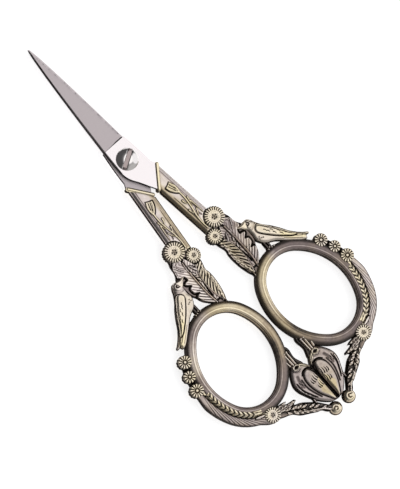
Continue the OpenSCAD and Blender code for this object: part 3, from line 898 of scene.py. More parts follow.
class SCISSORS_OT_shanks(bpy.types.Operator):
    """Model the shanks with their vine and tulip bud"""

    bl_idname = "scissors.shanks"
    bl_label = "Shanks"

    def execute(self, context):
        plan = Plan(context.scene.scissors_handles)
        half = plan.shank_half
        back = plan.collar_out * (plan.collar_w - 0.3)
        corners = [plan.collar_top + back, plan.collar_foot + back]
        foot = plan.on_shank(29.4, 0)
        lean = unit(plan.splay)
        inner, outer = foot - half * lean, foot + half * lean
        down = unit(plan.splay - 90)
        meet = [self.crossing(corners[0], plan.collar_dir, p, down) for p in (outer, inner)]
        form = Relief([meet[0], meet[1], inner, outer], step=plan.grain)
        across = (form.plan - plan.on_shank(0, 0)) @ lean
        # Rounded shoulders with a faint crown, brassier on the inner side than on the outer one
        shoulder = np.clip((half - np.abs(across)) / 1.3, 0, 1)
        form.base = TOP - 1.35 + 1.05 * dome(1 - shoulder) + 0.05 * bell(across / 1.5)
        form.brass = 0.05 + 0.6 * ramp(-across, 0.4, 1.5) - 0.2 * ramp(across, 1.0, 1.8)
        self.panel_lines(form, plan)
        self.vine(form)
        # The daisies sit in black hollows
        for at, radius in ((plan.big_daisy, 3.0), (plan.small_daisy, 2.2)):
            under = 1 - ramp(np.linalg.norm(form.plan - at, axis=1), radius - 0.1, radius + 0.12)
            form.base -= 0.6 * under
            form.finish_and_shade = np.maximum(form.finish_and_shade, 1.3 * under)
        # Painted shade towards both sides, and a painted highlight along each edge
        tone = 0.78 - 0.16 * ramp(across, 0.7, 1.9) - 0.3 * ramp(-across, 0.6, 2.0)
        tone += 0.3 * bell((across - 2.1) / 0.45) + 0.1 * bell((-across - 2.2) / 0.4)
        shell = form.shell(tone=tone, contrast=2.3, edge=0.18)
        pair(context, "shank", shell, "antique_brass")
        return {"FINISHED"}

    @staticmethod
    def crossing(a, run, b, fall):
        """Where the line from a along run meets the line from b along fall."""
        share = np.linalg.solve(np.column_stack([run, -fall]), b - a)
        return a + share[0] * run

    @staticmethod
    def panel_lines(form, plan):
        """The sunk lines beside the flat panel."""
        inner = [plan.on_shank(16, -1.35), plan.on_shank(22, -1.3), plan.on_shank(29, -1.1)]
        form.groove(inner, 0.7, 0.1, 0.22, (0.3, 1.2))
        outer = [plan.on_shank(6, 1.55), plan.on_shank(12, 1.5), plan.on_shank(18, 1.5)]
        form.groove(outer, 0.4, 0.06, 0.2, (1, 0.6))

    @staticmethod
    def vine(form):
        """The tulip bud, the stem below it and its leaves, in points of the plan."""
        form.grooves(
            0,
            ([(5.25, -19.2), (5.3, -22.0)], 0.6, 0.1, 0.32),
            ([(4.75, -22.8), (5.2, -24.2)], 0.6, 0.1, 0.32),
        )
        form.ridges(
            0,
            ([(3.72, -18.1), (3.85, -18.9), (4.2, -19.5)], 0.62, 0.2, (1, 0.5), 0.25),
            ([(3.42, -21.2), (3.55, -21.9), (3.95, -22.5)], 0.62, 0.2, (1, 0.5), 0.25),
            ([(5.4, -18.1), (5.25, -19.2), (4.85, -20.8)], 0.44, 0.2, (1.1, 0.6), 0.22),
            ([(5.2, -22.1), (4.75, -23.2), (4.15, -24.2)], 0.44, 0.2, (1.1, 0.6), 0.22),
            ([(5.45, -19.4), (5.75, -21.5), (6.0, -24)], 0.44, 0.2, (1.1, 0.6), 0.22),
        )
        bud = [(2.75, -12.75), (3.5, -12.35), (4.15, -12.05), (4.65, -13.2), (4.8, -14.6), (4.75, -15.8),
               (4.1, -15.2), (3.3, -14.2)]
        bud = curve(bud, closed=True)
        inner = inside(form.plan, bud)
        form.relief[inner] = 0.14
        form.finish_and_shade[inner] = -0.5
        form.tint(bud, 1.0)
        form.ridges(
            0,
            ([(2.75, -12.75), (3.15, -13.9), (3.9, -15), (4.65, -15.7)], 0.62, 0.22, (1, 1), 0),
            ([(4.1, -12.1), (4.7, -13.4), (4.85, -14.6), (4.7, -15.8)], 0.62, 0.22, (1, 1), 0),
        )
        # The first groove paints shade down the bud's left side; the others are lines between its petals and
        # over its top
        form.grooves(
            0,
            ([(2.35, -12.7), (2.75, -14.1), (3.6, -15.35), (4.3, -16)], 0.5, 0.1, 0.75, (1, 0.6)),
            ([(3.3, -12.7), (3.7, -13.7), (4.3, -14.8)], 0.26, 0.09, 1.0),
            ([(3.8, -12.5), (4.15, -13.4), (4.5, -14.4)], 0.26, 0.09, 1.0),
            ([(2.5, -12.5), (3.3, -12.3), (4.3, -11.8)], 0.4, 0.1, 0.6),
        )
        stem = [(4.65, -15.7), (4.75, -17), (4.7, -19), (4.35, -21.5), (3.98, -23.5), (3.88, -26),
                (4.1, -28)]
        form.ridges(0, (stem, 0.6, 0.2, (1, 0.9), 0.3))
        form.brass = np.where(form.relief > 0.06, 0.75, form.brass)


def daisy(centre, radius, petals, style, grain):
    """A daisy: petals round a seed cushion, on both faces."""
    # The outline is notched between the petals
    turns = np.arange(0, 360, 360 / (petals * 8))
    notch = 0.5 - 0.5 * np.cos(np.radians(turns * petals))
    ring = centre + (radius * (1 - 0.055 * (1 - notch)))[:, None] * unit(turns)
    form = Relief(ring, step=grain)
    x, y = (form.plan - centre).T
    r = np.hypot(x, y) / radius
    wave = 0.5 - 0.5 * np.cos(np.arctan2(y, x) * petals)
    gap = ramp((0.34 if style == "fringed" else 0.36) - wave, 0, 0.2)
    form.brass[:] = 0.5
    inner = 0.55 if style == "fringed" else 0.3
    ray = ramp(r, inner, inner + 0.12)
    form.base = TOP - 0.16 - 0.2 * ramp(r, 0.85, 1.05) + 0.06 * bell((r - inner) / 0.4)
    form.relief = ray * (0.08 * np.sqrt(wave) - 0.14 * gap)
    form.finish_and_shade = 1.35 * ray * gap
    if style == "fringed":
        # A mottled seed cushion with a ring of pits
        seeds = 0.5 + 0.5 * np.sin(x * 11 + 2 * np.sin(y * 9)) * np.sin(y * 12 + 2 * np.sin(x * 8))
        cushion = 1 - ramp(r, inner - 0.06, inner + 0.06)
        form.relief += cushion * 0.09 * (seeds - 0.4)
        form.finish_and_shade = np.maximum(form.finish_and_shade, cushion * 0.55 * ramp(1 - seeds, 0.55, 0.95))
        pits = [(0.18, 72 * i + 18) for i in range(5)] + [(0, 0)]
        for reach, turn in pits:
            at = centre + reach * radius * unit(turn)
            near = bell(np.linalg.norm(form.plan - at, axis=1) / (0.13 * radius))
            form.relief -= 0.16 * near
            form.finish_and_shade = np.maximum(form.finish_and_shade, 1.3 * near)
    else:
        # A ring-shaped pit with a bead in it
        pit = bell((r - 0.26) / 0.14)
        form.relief -= 0.18 * pit
        form.finish_and_shade = np.maximum(form.finish_and_shade, 1.2 * pit)
        bead = r < 0.2
        form.relief[bead] = 0.1 * dome(r[bead] / 0.2)
        form.finish_and_shade[bead] = 0.25
    return form.shell(tone=0.98, contrast=1.4, edge=0.08, rounds=8)


class SCISSORS_OT_daisies(bpy.types.Operator):
    """Model the daisies on the shanks and round the bows"""

    bl_idname = "scissors.daisies"
    bl_label = "Daisies"

    def execute(self, context):
        plan = Plan(context.scene.scissors_handles)
        grain = plan.grain * 0.65
        big = daisy(plan.big_daisy, 2.95, 23, "fringed", grain)
        shank = joined(big, daisy(plan.small_daisy, 2.15, 18, "fringed", grain))
        pair(context, "shank_daisies", shank, "antique_brass")
        rim = [daisy(at, radius, petals, "open", grain) for at, radius, petals in plan.rim_daisies]
        rim.append(daisy(plan.foot_daisy, 2.3, 18, "fringed", grain))
        turns = np.linspace(35, -2, 30)
        ground = Relief(np.vstack([plan.rim(turns, 3.0), plan.rim(turns[::-1], 0.6)]), step=grain * 1.6)
        ground.swell(0.9, 1.3, 0.4)
        ground.finish_and_shade[:] = 0.8
        rim.append(ground.shell(tone=0.5))
        pair(context, "rim_daisies", joined(*rim), "antique_brass")
        return {"FINISHED"}


class SCISSORS_OT_bows(bpy.types.Operator):
    """Model the ridged bars of the two finger bows"""

    bl_idname = "scissors.bows"
    bl_label = "Finger bows"

    # Half of the bar's section, from the middle of the outer wall over the ridge: (out, height, tone); the
    # tone paints shade on the sides and highlights along the ridge lines
    section = [
        (1.6, 0, 0.17), (1.6, 0.5, 0.17), (1.58, 0.85, 0.17), (1.5, 1.12, 0.19), (1.36, 1.32, 0.26),
        (1.16, 1.5, 0.38), (0.94, 1.63, 0.54), (0.7, 1.72, 0.7), (0.4, 1.8, 0.8), (0.1, 1.86, 0.76),
        (-0.26, 1.9, 0.7), (-0.42, 1.95, 1.08), (-0.56, 1.95, 1.08), (-0.7, 1.9, 0.72), (-0.95, 1.86, 0.7),
        (-1.12, 1.82, 0.98), (-1.26, 1.74, 0.9), (-1.38, 1.58, 0.6), (-1.5, 1.25, 0.34),
        (-1.56, 0.95, 0.22), (-1.6, 0.55, 0.17), (-1.6, 0, 0.17)]

    def execute(self, context):
        plan = Plan(context.scene.scissors_handles)
        out, high, tone = np.array(self.section).T
        out = np.concatenate([out, out[-2:0:-1]])
        high = np.concatenate([high, -high[-2:0:-1]])
        tone = np.concatenate([tone, tone[-2:0:-1]])
        turns = np.arange(0, 360, 1.5)
        size = len(out)
        reach = out * plan.bar / (2 * self.section[0][0])
        corners = np.vstack([
            np.column_stack([plan.rim(turn, reach), MID_Z + high]) for turn in turns])
        # Painted highlight, a brassy painted sheen and painted shade round the bow, by the direction that
        # each part faces
        sunny = bell((turns - 138) / 45)
        warm = ramp(turns, 88, 104) * (1 - ramp(turns, 196, 222))
        painted_dark_side = ramp(turns, 192, 222) * (1 - ramp(turns, 316, 345))
        shaded = np.maximum(ramp(turns, 300, 330), 1 - ramp(turns, 55, 105))
        inner_shade = 0.42 * bell((turns - 198) / 26)[:, None] * (1 - ramp(out, -0.5, 0.1))[None]
        # The left bow has a quarter of the right one's painted shade, and a painted bright stretch of its own
        lit_tones = []
        for share in (1, 0.25):
            bright = 0.76 + 0.17 * sunny - 0.2 * painted_dark_side - 0.2 * share * shaded
            bright += 0.3 * (1 - share) * bell((turns - 30) / 20)
            lit_tones.append(np.where(tone > 0.3, tone[None] * (bright[:, None] - inner_shade), tone[None]).ravel())
        shell = corners, bands(len(turns), size, closed=True), lit_tones[0], np.repeat(0.15 + 0.62 * warm, size)
        pair(context, "finger_bow", shell, "antique_brass", smooth=40, left_tones=lit_tones[1])
        return {"FINISHED"}


class SCISSORS_OT_leaf_sprays(bpy.types.Operator):
    """Model the leaf sprays between shank and bow"""

    bl_idname = "scissors.leaf_sprays"
    bl_label = "Leaf sprays"

    plate = [(3.1, -31.6), (3.05, -33.2), (3.3, -34.3), (3.62, -35.3), (3.74, -36.2), (3.5, -37.2),
             (3.46, -38.8), (3.56, -40.2), (3.78, -41.8), (4.12, -43.3), (4.5, -44.6), (4.95, -45.7),
             (5.2, -47), (8.0, -46), (8.3, -44.3), (9.2, -43.3), (10.05, -42.3), (10.6, -41.2),
             (10.95, -40.1), (11.5, -39.2), (11.9, -38), (12, -36.5), (12.2, -34.2), (11.9, -33.1),
             (11.35, -32.3), (10.9, -31.2), (10.75, -30), (10.5, -28.9), (9.5, -27.6), (6, -28.2)]
    lobes = [(8.0, -29.5), (10.5, -29.9), (10.8, -31.6), (11.2, -32.6), (11.0, -33.4), (9.9, -33.7),
             (9.6, -34.9), (10.3, -35.0), (10.98, -35.3), (10.85, -35.9), (9.85, -36.75), (10.3, -36.95),
             (10.75, -37.25), (10.8, -38.1), (10.55, -39.0), (9.5, -39.55), (10.3, -39.75), (10.72, -40.2),
             (10.55, -41.2), (10.0, -42.3), (9.2, -43.3), (8.2, -44.3), (7.5, -44.7)]
    midrib = [(7.65, -30.6), (7.85, -33), (7.95, -35.5), (7.97, -38), (8.0, -40), (7.87, -42),
              (7.65, -43.6), (7.5, -44.6)]
    fern_rib = [(5.3, -33.2), (6.0, -35.2), (6.45, -37.5), (6.6, -39.5), (6.5, -41.5), (6.1, -43.5),
                (5.5, -45.3)]

    # Foot, turn and length of the small leaves between the fern and the midrib
    leaves = [
        ((6.9, -32.2), -122, 3.0), ((5.5, -35.0), 60, 2.6), ((6.35, -38.3), 66, 2.6), ((6.9, -35.6), 64, 2.2)]

    # Half the thickness of the sunk ground, and of the leaves' plates
    ground = 0.8
    plate_base = 1.2

    def execute(self, context):
        plan = Plan(context.scene.scissors_handles)
        form = Relief(curve(self.plate, True), [plan.bow_ring()], step=plan.grain * 0.78)
        form.swell(self.ground, self.plate_base, 0.5)
        form.shadow[:] = 0.35
        midrib, fern_rib = curve(self.midrib), curve(self.fern_rib)
        # The inner edge of the plate, and the rings of its four leaves
        edge = curve(self.plate[1:13])
        lobes = curve(self.lobes, steps=3)
        upper = [(7.5, -29.2), (7.7, -31.2), (7.95, -33.2), (9.3, -33.0), (10.9, -32.9), (11.1, -31.9),
                 (10.5, -29.9), (9, -28.4)]
        between = np.vstack([midrib[:40], fern_rib[::-1][4:], [(5.6, -31.6), (6.6, -29.6)]])
        fern = np.vstack([fern_rib, edge[::-1] + (0.2, 0)])
        outer = np.vstack([midrib[8:], lobes[::-1]])
        for ring, rise in ((between, 0.28), (upper, 0.36), (outer, 0.4), (fern, 0.4)):
            self.raise_inside(form, ring, rise)
        # Faint barbs on the plain leaves, and bold ones on the fern and the outer leaf's lower half
        form.finish_and_shade = form.shadow
        form.barbs(upper, midrib[:8], 1.7, 1.0, 0.04, black=0.1, bright=0.2)
        form.barbs(between, midrib, 1.2, 1.4, 0.06, black=0.3, bright=0.2)
        for foot, turn, length in self.leaves:
            form.leaf(foot, turn, length, 0.62, 0.4, rib=False)
        low_outer = outer[outer[:, 1] < -38.5]
        form.barbs(outer, midrib, 1.1, 1.15, 0.08, fade=0.4, black=0.24, bright=0.25)
        form.barbs(low_outer, midrib, 1.1, 1.15, 0.16, fade=0.4, black=0.5, bright=0.3)
        form.barbs(fern, fern_rib, 1.3, 1.35, 0.3, black=0.85, bright=0.55)
        # Short ridges along the inner edge, and then the ribs
        for y in np.arange(-35.2, -44.5, -1.3):
            at = edge[np.abs(edge[:, 1] - y).argmin()]
            form.ridges(at, ([(1.35, -0.75), (0.85, -0.1), (0.6, 0.6)], 0.74, 0.46, (0.6, 1), 0.3))
        form.grooves(0, ([(6.6, -36.4), (6.8, -38.2), (7.1, -40.4), (7.2, -42.4)], 0.7, 0.4, 1.4, (0.3, 1)))
        form.groove(midrib - np.array([0.4, 0]), 0.3, 0.12, 0.5)
        form.ridge(fern_rib, 0.5, 0.56, (0.7, 1), 0.3)
        form.ridge(midrib, 0.56, 0.62, (0.9, 1), 0.3)
        form.ridges(0, ([(8.85, -32.6), (9.6, -31.6), (10.2, -30.2)], 0.42, 0.38))
        form.tint(fern, 0.7)
        form.brass = np.maximum(form.brass, 0.1)
        corners, faces, tones, brass = form.shell(tone=0.68, contrast=2.6, edge=0.3)
        shell = (corners, faces, 0.03 + 0.8 * tones, 0.7 * brass)
        pair(context, "leaf_spray", shell, "grey_brass", left_tones=1.08 * tones)
        return {"FINISHED"}

    def raise_inside(self, form, ring, rise):
        """Raises a leaf's own plate above the sunk ground between the leaves."""
        on, gap = form.within(ring)
        plate = self.plate_base + rise * ramp(gap, 0, 0.22)
        form.base = np.where(on, np.maximum(form.base, plate), form.base)
        form.shadow = np.where(on, 0, np.maximum(form.shadow, 1.3 * (1 - ramp(gap, 0.25, 0.6))))


class SCISSORS_OT_perched_birds(bpy.types.Operator):
    """Model the songbird perched on each bow"""

    bl_idname = "scissors.perched_birds"
    bl_label = "Perched birds"

    # Points are measured from the perch
    body = [(-1.95, 8.15), (-1.4, 9.55), (-0.2, 10.05), (0.75, 9.1), (1.35, 7.8), (2.4, 6.2), (3.95, 4.4),
            (5.5, 2.2), (6.7, 0.2), (8.1, -1.5), (9.5, -2.8), (10.55, -3.6), (10.3, -4.1), (9.6, -3.9),
            (9.2, -4.75), (8.3, -4.6), (6.9, -3.75), (5.2, -2.3), (3.6, -0.9), (2.3, 0.25), (1.2, 0.9),
            (0.1, 1.4), (-0.9, 2.2), (-1.6, 3.3), (-1.95, 4.5), (-1.75, 5.8), (-1.85, 7.0)]
    beak = [(-0.6, 9.9), (-2.3, 9.78), (-4.0, 9.8), (-3.1, 9.0), (-2.2, 8.0), (-1.2, 7.6)]
    wing = [(-0.3, 5.8), (0.1, 6.7), (0.95, 7.05), (1.8, 6.65), (3.1, 5.0), (4.4, 3.2), (5.7, 1.2),
            (6.8, -0.5), (7.75, -1.9), (6.4, -1.5), (4.9, -0.25), (3.15, 1.4), (1.45, 3.25), (0.2, 4.65)]
    marks = [(1.5, 4.9), (2.3, 5.3), (2.0, 4.1), (2.9, 3.8), (3.6, 3.9), (3.1, 2.7), (4.2, 2.4), (4.4, 1.3),
             (5.2, 1.2)]
    eye = (-0.9, 8.85)

    def execute(self, context):
        plan = Plan(context.scene.scissors_handles)
        at = plan.perch
        form = Relief(ring_at(self.body, at), step=plan.grain * 0.85)
        form.swell(1.05, 1.72, 1.5)
        form.brass[:] = 0.25
        wing = ring_at(self.wing, at)
        on, gap = form.pillow(wing, 0.16, 0.26, 1.0)
        form.finish_and_shade = np.where(on, 0, 0.7 * bell(gap / 0.34))
        form.tint(wing, 0.4)
        tail = [(4.4, 2.6), (6.9, 0.2), (10.6, -3.4), (9.8, -5.0), (8.3, -4.8), (5.0, -2.3), (3.4, 0.4)]
        form.tint(np.array(tail) + at, 1.0, 1.2)
        self.feathers(form, at)
        self.head(form, at)
        shells = [form.shell(tone=0.79, contrast=2.5, edge=0.3), self.beak_shell(plan), *self.legs(plan)]
        pair(context, "perched_bird", joined(*shells), "antique_brass")
        return {"FINISHED"}

    def feathers(self, form, at):
        """Wing edge, feather marks and tail."""
        lower = [(-0.2, 5.2), (1.2, 3.35), (3.05, 1.3), (4.9, -0.35), (6.5, -1.6), (7.6, -2.05)]
        upper = [(0.3, 6.9), (1.1, 7.3), (2.1, 6.7), (3.4, 5.0)]
        form.grooves(at, (lower, 0.5, 0.22, 1.0, (0.7, 0.9)), (upper, 0.34, 0.12, 0.8))
        for x, y in self.marks:
            form.grooves(at, ([(x, y), (x + 0.3, y - 0.3), (x + 0.4, y - 0.85)], 0.32, 0.16, 1.0, (1, 0.4)))
        for x, y in [(-0.75, 4.1), (-1.05, 3.6), (-0.4, 3.5), (0.1, 3.3)]:
            mark = np.array([(x - 0.16, y + 0.16), (x, y - 0.12), (x + 0.2, y + 0.14)])
            form.groove(mark + at, 0.2, 0.1, 0.6)
        for shift in (-0.42, 0.35):
            line = np.array([(4.6, -0.3), (6.4, -1.9), (8.4, -3.5)]) + (shift * 0.7, shift * 0.7)
            form.groove(line + at, 0.22, 0.1, 0.45)
        form.groove(np.array([(8.6, -2.9), (9.7, -3.85)]) + at, 0.4, 0.25, 1.0, (0.3, 1))

    def head(self, form, at):
        """Crown of the head, eye and brow."""
        eye = np.array(self.eye) + at
        form.mound(eye, 1.35, 0.2)
        form.grooves(at, ([(-2.6, 9.55), (-1.6, 9.75), (-0.7, 9.6)], 0.22, 0.06, 0.3))
        gap = np.linalg.norm((form.plan - eye) / (1.35, 1.0), axis=1)
        form.relief -= 0.14 * bell((gap - 0.42) / 0.2)
        form.finish_and_shade = np.maximum(form.finish_and_shade, 1.1 * bell((gap - 0.4) / 0.2))
        pupil = gap < 0.22
        form.relief[pupil] = 0.22 + 0.1 * dome(gap[pupil] / 0.24)
        form.finish_and_shade[pupil] = 0.5
        form.grooves(at, ([(-1.7, 7.3), (-0.9, 7.0), (0.2, 7.4), (1.2, 8.2)], 0.7, 0.06, 0.12))

    def beak_shell(self, plan):
        """The beak, joined to the head."""
        form = Relief(ring_at(self.beak, plan.perch, 4), step=plan.grain * 0.8)
        form.swell(1.25, 1.68, 0.7)
        form.brass[:] = 0.45
        form.grooves(plan.perch, ([(-3.6, 9.45), (-2.6, 9.0), (-1.9, 8.75)], 0.16, 0.06, 0.5))
        return form.shell(tone=0.9, contrast=1.6, edge=0.2)

    def legs(self, plan):
        """Two short legs with claws that grip the bow."""
        shells = []
        for x in (-0.75, 0.05):
            leg = [(x - 0.25, 2.7), (x + 0.35, 2.7), (x + 0.3, -0.5), (x - 0.35, -0.5)]
            form = Relief(ring_at(leg, plan.perch, 4), step=plan.grain)
            form.swell(1.0, 1.35, 0.3)
            form.finish_and_shade[:] = 0.6
            shells.append(form.shell(tone=0.5))
        for x, y in [(-1.0, -0.1), (-0.45, 0.25), (0.1, -0.15), (0.75, -0.25)]:
            ring = plan.perch + (x, y) + unit(np.arange(0, 360, 15)) * (0.3, 0.34)
            form = Relief(ring, step=plan.grain * 0.8)
            form.swell(1.45, 1.85, 0.3)
            form.brass[:] = 0.3
            shells.append(form.shell(tone=0.95, contrast=0.5))
        return shells


class SCISSORS_OT_garlands(bpy.types.Operator):
    """Model the leafy garland and its rail outside each bow"""

    bl_idname = "scissors.garlands"
    bl_label = "Garlands"

    def execute(self, context):
        plan = Plan(context.scene.scissors_handles)
        # From the bow's bar out to the rail, which tapers at the top and spreads at the foot
        turns = np.linspace(363, 272, 80)
        outer = 3.62 - 0.6 * ramp(turns, 350, 363) + 1.1 * (1 - ramp(turns, 281, 297))
        ring = np.vstack([plan.rim(turns, outer), plan.rim(turns[::-1], -0.2)])
        form = Relief(ring, step=plan.grain * 0.8)
        # Distance out from the bar's centre line, less than nought on the inner side
        path = plan.rim(np.linspace(366, 268, 160), 0)
        out, share = along(form.plan, path)
        outside = inside(form.plan, np.vstack([path, plan.rim(turns[::-1], 6.0)]))
        out = np.where(outside, out, -out)
        # Over the bar, the casting is as high as the bar's own section
        section = np.array(SCISSORS_OT_bows.section)[3:19][::-1]
        bar = np.interp(out, section[:, 0], section[:, 1])
        # The chain of leaves runs along the bar's crown
        middle = plan.rim(np.linspace(361, 288, 200), 0.62)
        run = np.concatenate([[0], np.cumsum(np.linalg.norm(np.diff(middle, axis=0), axis=1))])
        first, last = np.interp([0, run[-1]], run, along(middle, path)[1])
        in_chain = ramp(share, first, first + 0.03) * (1 - ramp(share, last - 0.03, last))
        rail = 1.8 * dome((out - 2.3) / 2.6)
        under_chain = np.where(in_chain > 0.5, np.minimum(bar, TOP - 0.36), np.minimum(bar - 0.05, 1.3))
        form.base = np.where(out < 1.45, under_chain, rail)
        beside_chain = in_chain * (1 - ramp(out, 1.35, 1.6)) * ramp(out, -0.35, -0.15)
        form.finish_and_shade = bell((out - 1.55) / 0.3) + 1.2 * beside_chain
        self.ear(form, middle, 1.34, 0.84)
        # Three leaves at the foot, where the chain ends
        for turn, out_from, lean in ((287, 1.55, 0), (288, 0.8, 8), (287, 0.2, 16)):
            form.leaf(plan.rim(turn, out_from), turn + 90 + lean, 3.0, 0.8, 0.4, rib=False)
        # Slanted streaks on the rail, each from beside the chain out to the edge
        places = ((0, 1.7), (6, 2.15), (12, 2.75), (17, 3.4))
        for turn in np.arange(362, 292, -6):
            streak = [plan.rim(turn - back, away) for back, away in places]
            form.grooves(0, (streak, 0.42, 0.08, 0.18, (0.4, 1)))
        form.brass = 0.15 + 0.6 * (1 - ramp(out, 1.3, 1.6))
        shell = form.shell(tone=0.68 + 0.3 * (out < 1.5), contrast=2.4, edge=0.4)
        pair(context, "garland", shell, "grey_brass", left_tones=0.02 + 0.85 * shell[2])
        return {"FINISHED"}

    @staticmethod
    def ear(form, rib, pitch, half):
        """Pairs of leaves along a rib, like an ear of wheat."""
        near = form.close_to(rib, half)
        gap, x = form.slanted(near, rib, pitch, 1.05)
        on = gap < half * (0.72 + 0.28 * dome(x))
        leaf = near[on]
        form.relief[leaf] = 0.36 * dome(0.98 * x[on]) * (1 - 0.5 * bell(gap[on] / 0.12))
        form.finish_and_shade[leaf] = 1.2 * ramp(np.abs(x[on]), 0.5, 0.85) + 0.5 * bell(gap[on] / 0.12) - 0.3


class SCISSORS_OT_finial_branches(bpy.types.Operator):
    """Model the leafy branch from the foot daisy to the ball"""

    bl_idname = "scissors.finial_branches"
    bl_label = "Finial branches"

    def execute(self, context):
        plan = Plan(context.scene.scissors_handles)
        foot, ball = plan.foot_daisy, plan.ball
        upper = ball + [(0.2, 1.2), (1.6, 3.0), (2.9, 4.7), (4.4, 6.0), (6.2, 7.4), (7.9, 8.1)]
        leaves = foot + [(-6.6, -1.7), (-7.6, -1.3), (-7.3, -0.8), (-5.2, -0.5), (-4.6, -0.2), (-5.3, 0.25),
                         (-4.4, 0.6), (-2.2, 0.9)]
        lower = np.vstack([
            foot + [(-0.2, -1.8), (-2.4, -2.8), (-4.4, -3.6), (-6.0, -5.3), (-8.2, -6.6), (-10.2, -7.7)],
            ball + [(3.0, 1.9), (1.9, 0.5), (0, 0)],
        ])
        form = Relief(np.vstack([curve(upper), leaves, curve(lower)]), step=plan.grain)
        form.swell(0.8, 1.35, 0.5)
        form.finish_and_shade[:] = 0.38
        # Two veined leaves beside the foot daisy, and pairs of small ones along the branch
        form.leaf(foot + (-1.2, 0.0), 177, 4.3, 1.15, 0.42, veins=4)
        form.leaf(foot + (-1.4, -0.6), 187, 6.4, 1.35, 0.42, veins=6)
        spine = curve(ball + [(1.5, 1.6), (4.2, 4.6), (7.6, 7.0), (10.6, 8.6)])
        leaf_pairs = 7
        for i in range(leaf_pairs):
            at = spine[int((len(spine) - 1) * (0.1 + 0.8 * i / (leaf_pairs - 1)))]
            form.leaf(at + (-0.5, 0.1), 8, 2.1, 0.75, 0.4)
            form.leaf(at + (0.5, -1.9), 68, 2.0, 0.8, 0.38)
        upper_edge = curve(ball + [(1.0, 1.9), (2.6, 4.0), (4.2, 5.5), (6.0, 6.9)])
        form.finish_and_shade = np.maximum(form.finish_and_shade, 1.2 * bell(along(form.plan, upper_edge)[0] / 0.5))
        form.ridges(ball, ([(1.2, 0.7), (2.9, 2.4), (6.1, 4.3), (9.1, 6.6)], 0.5, 0.42, (1, 0.4)))
        form.brass[:] = 0.25
        shells = joined(form.shell(tone=0.6, contrast=2.8, edge=0.5), self.ball_shell(ball))
        pair(context, "finial_branch", shells, "grey_brass")
        return {"FINISHED"}

    def ball_shell(self, ball):
        """The ball with its curled groove."""
        radius = ball[1] - BALL_FOOT
        turns, tilts = np.arange(0, 360, 6), np.linspace(-90, 90, 33)
        curl = ball + curve([(0.8, 0.3), (0.1, 0.6), (-0.4, 0.2), (-0.3, -0.4), (0.2, -0.6)])
        corners, tones = [], []
        for tilt in tilts:
            # The curl is cut into both faces and fades out towards the ball's side
            c, s = unit(tilt)
            gap, share = along(ball + radius * c * unit(turns), curl)
            cut = bell(gap / (0.26 + 0.1 * share))
            size = radius - 0.3 * cut * abs(s)
            corners.append(np.column_stack([ball + (size * c)[:, None] * unit(turns), MID_Z + size * s]))
            # The ball's side, where it turns away from above, is darkened as painted shade
            tones.append(np.clip(0.14 + 0.86 * ramp(abs(s), 0.3, 0.85) - 0.75 * cut * abs(s), 0, 1))
        tones = np.concatenate(tones)
        return np.vstack(corners), bands(len(tilts), len(turns)), tones, np.full(len(tones), 0.55)


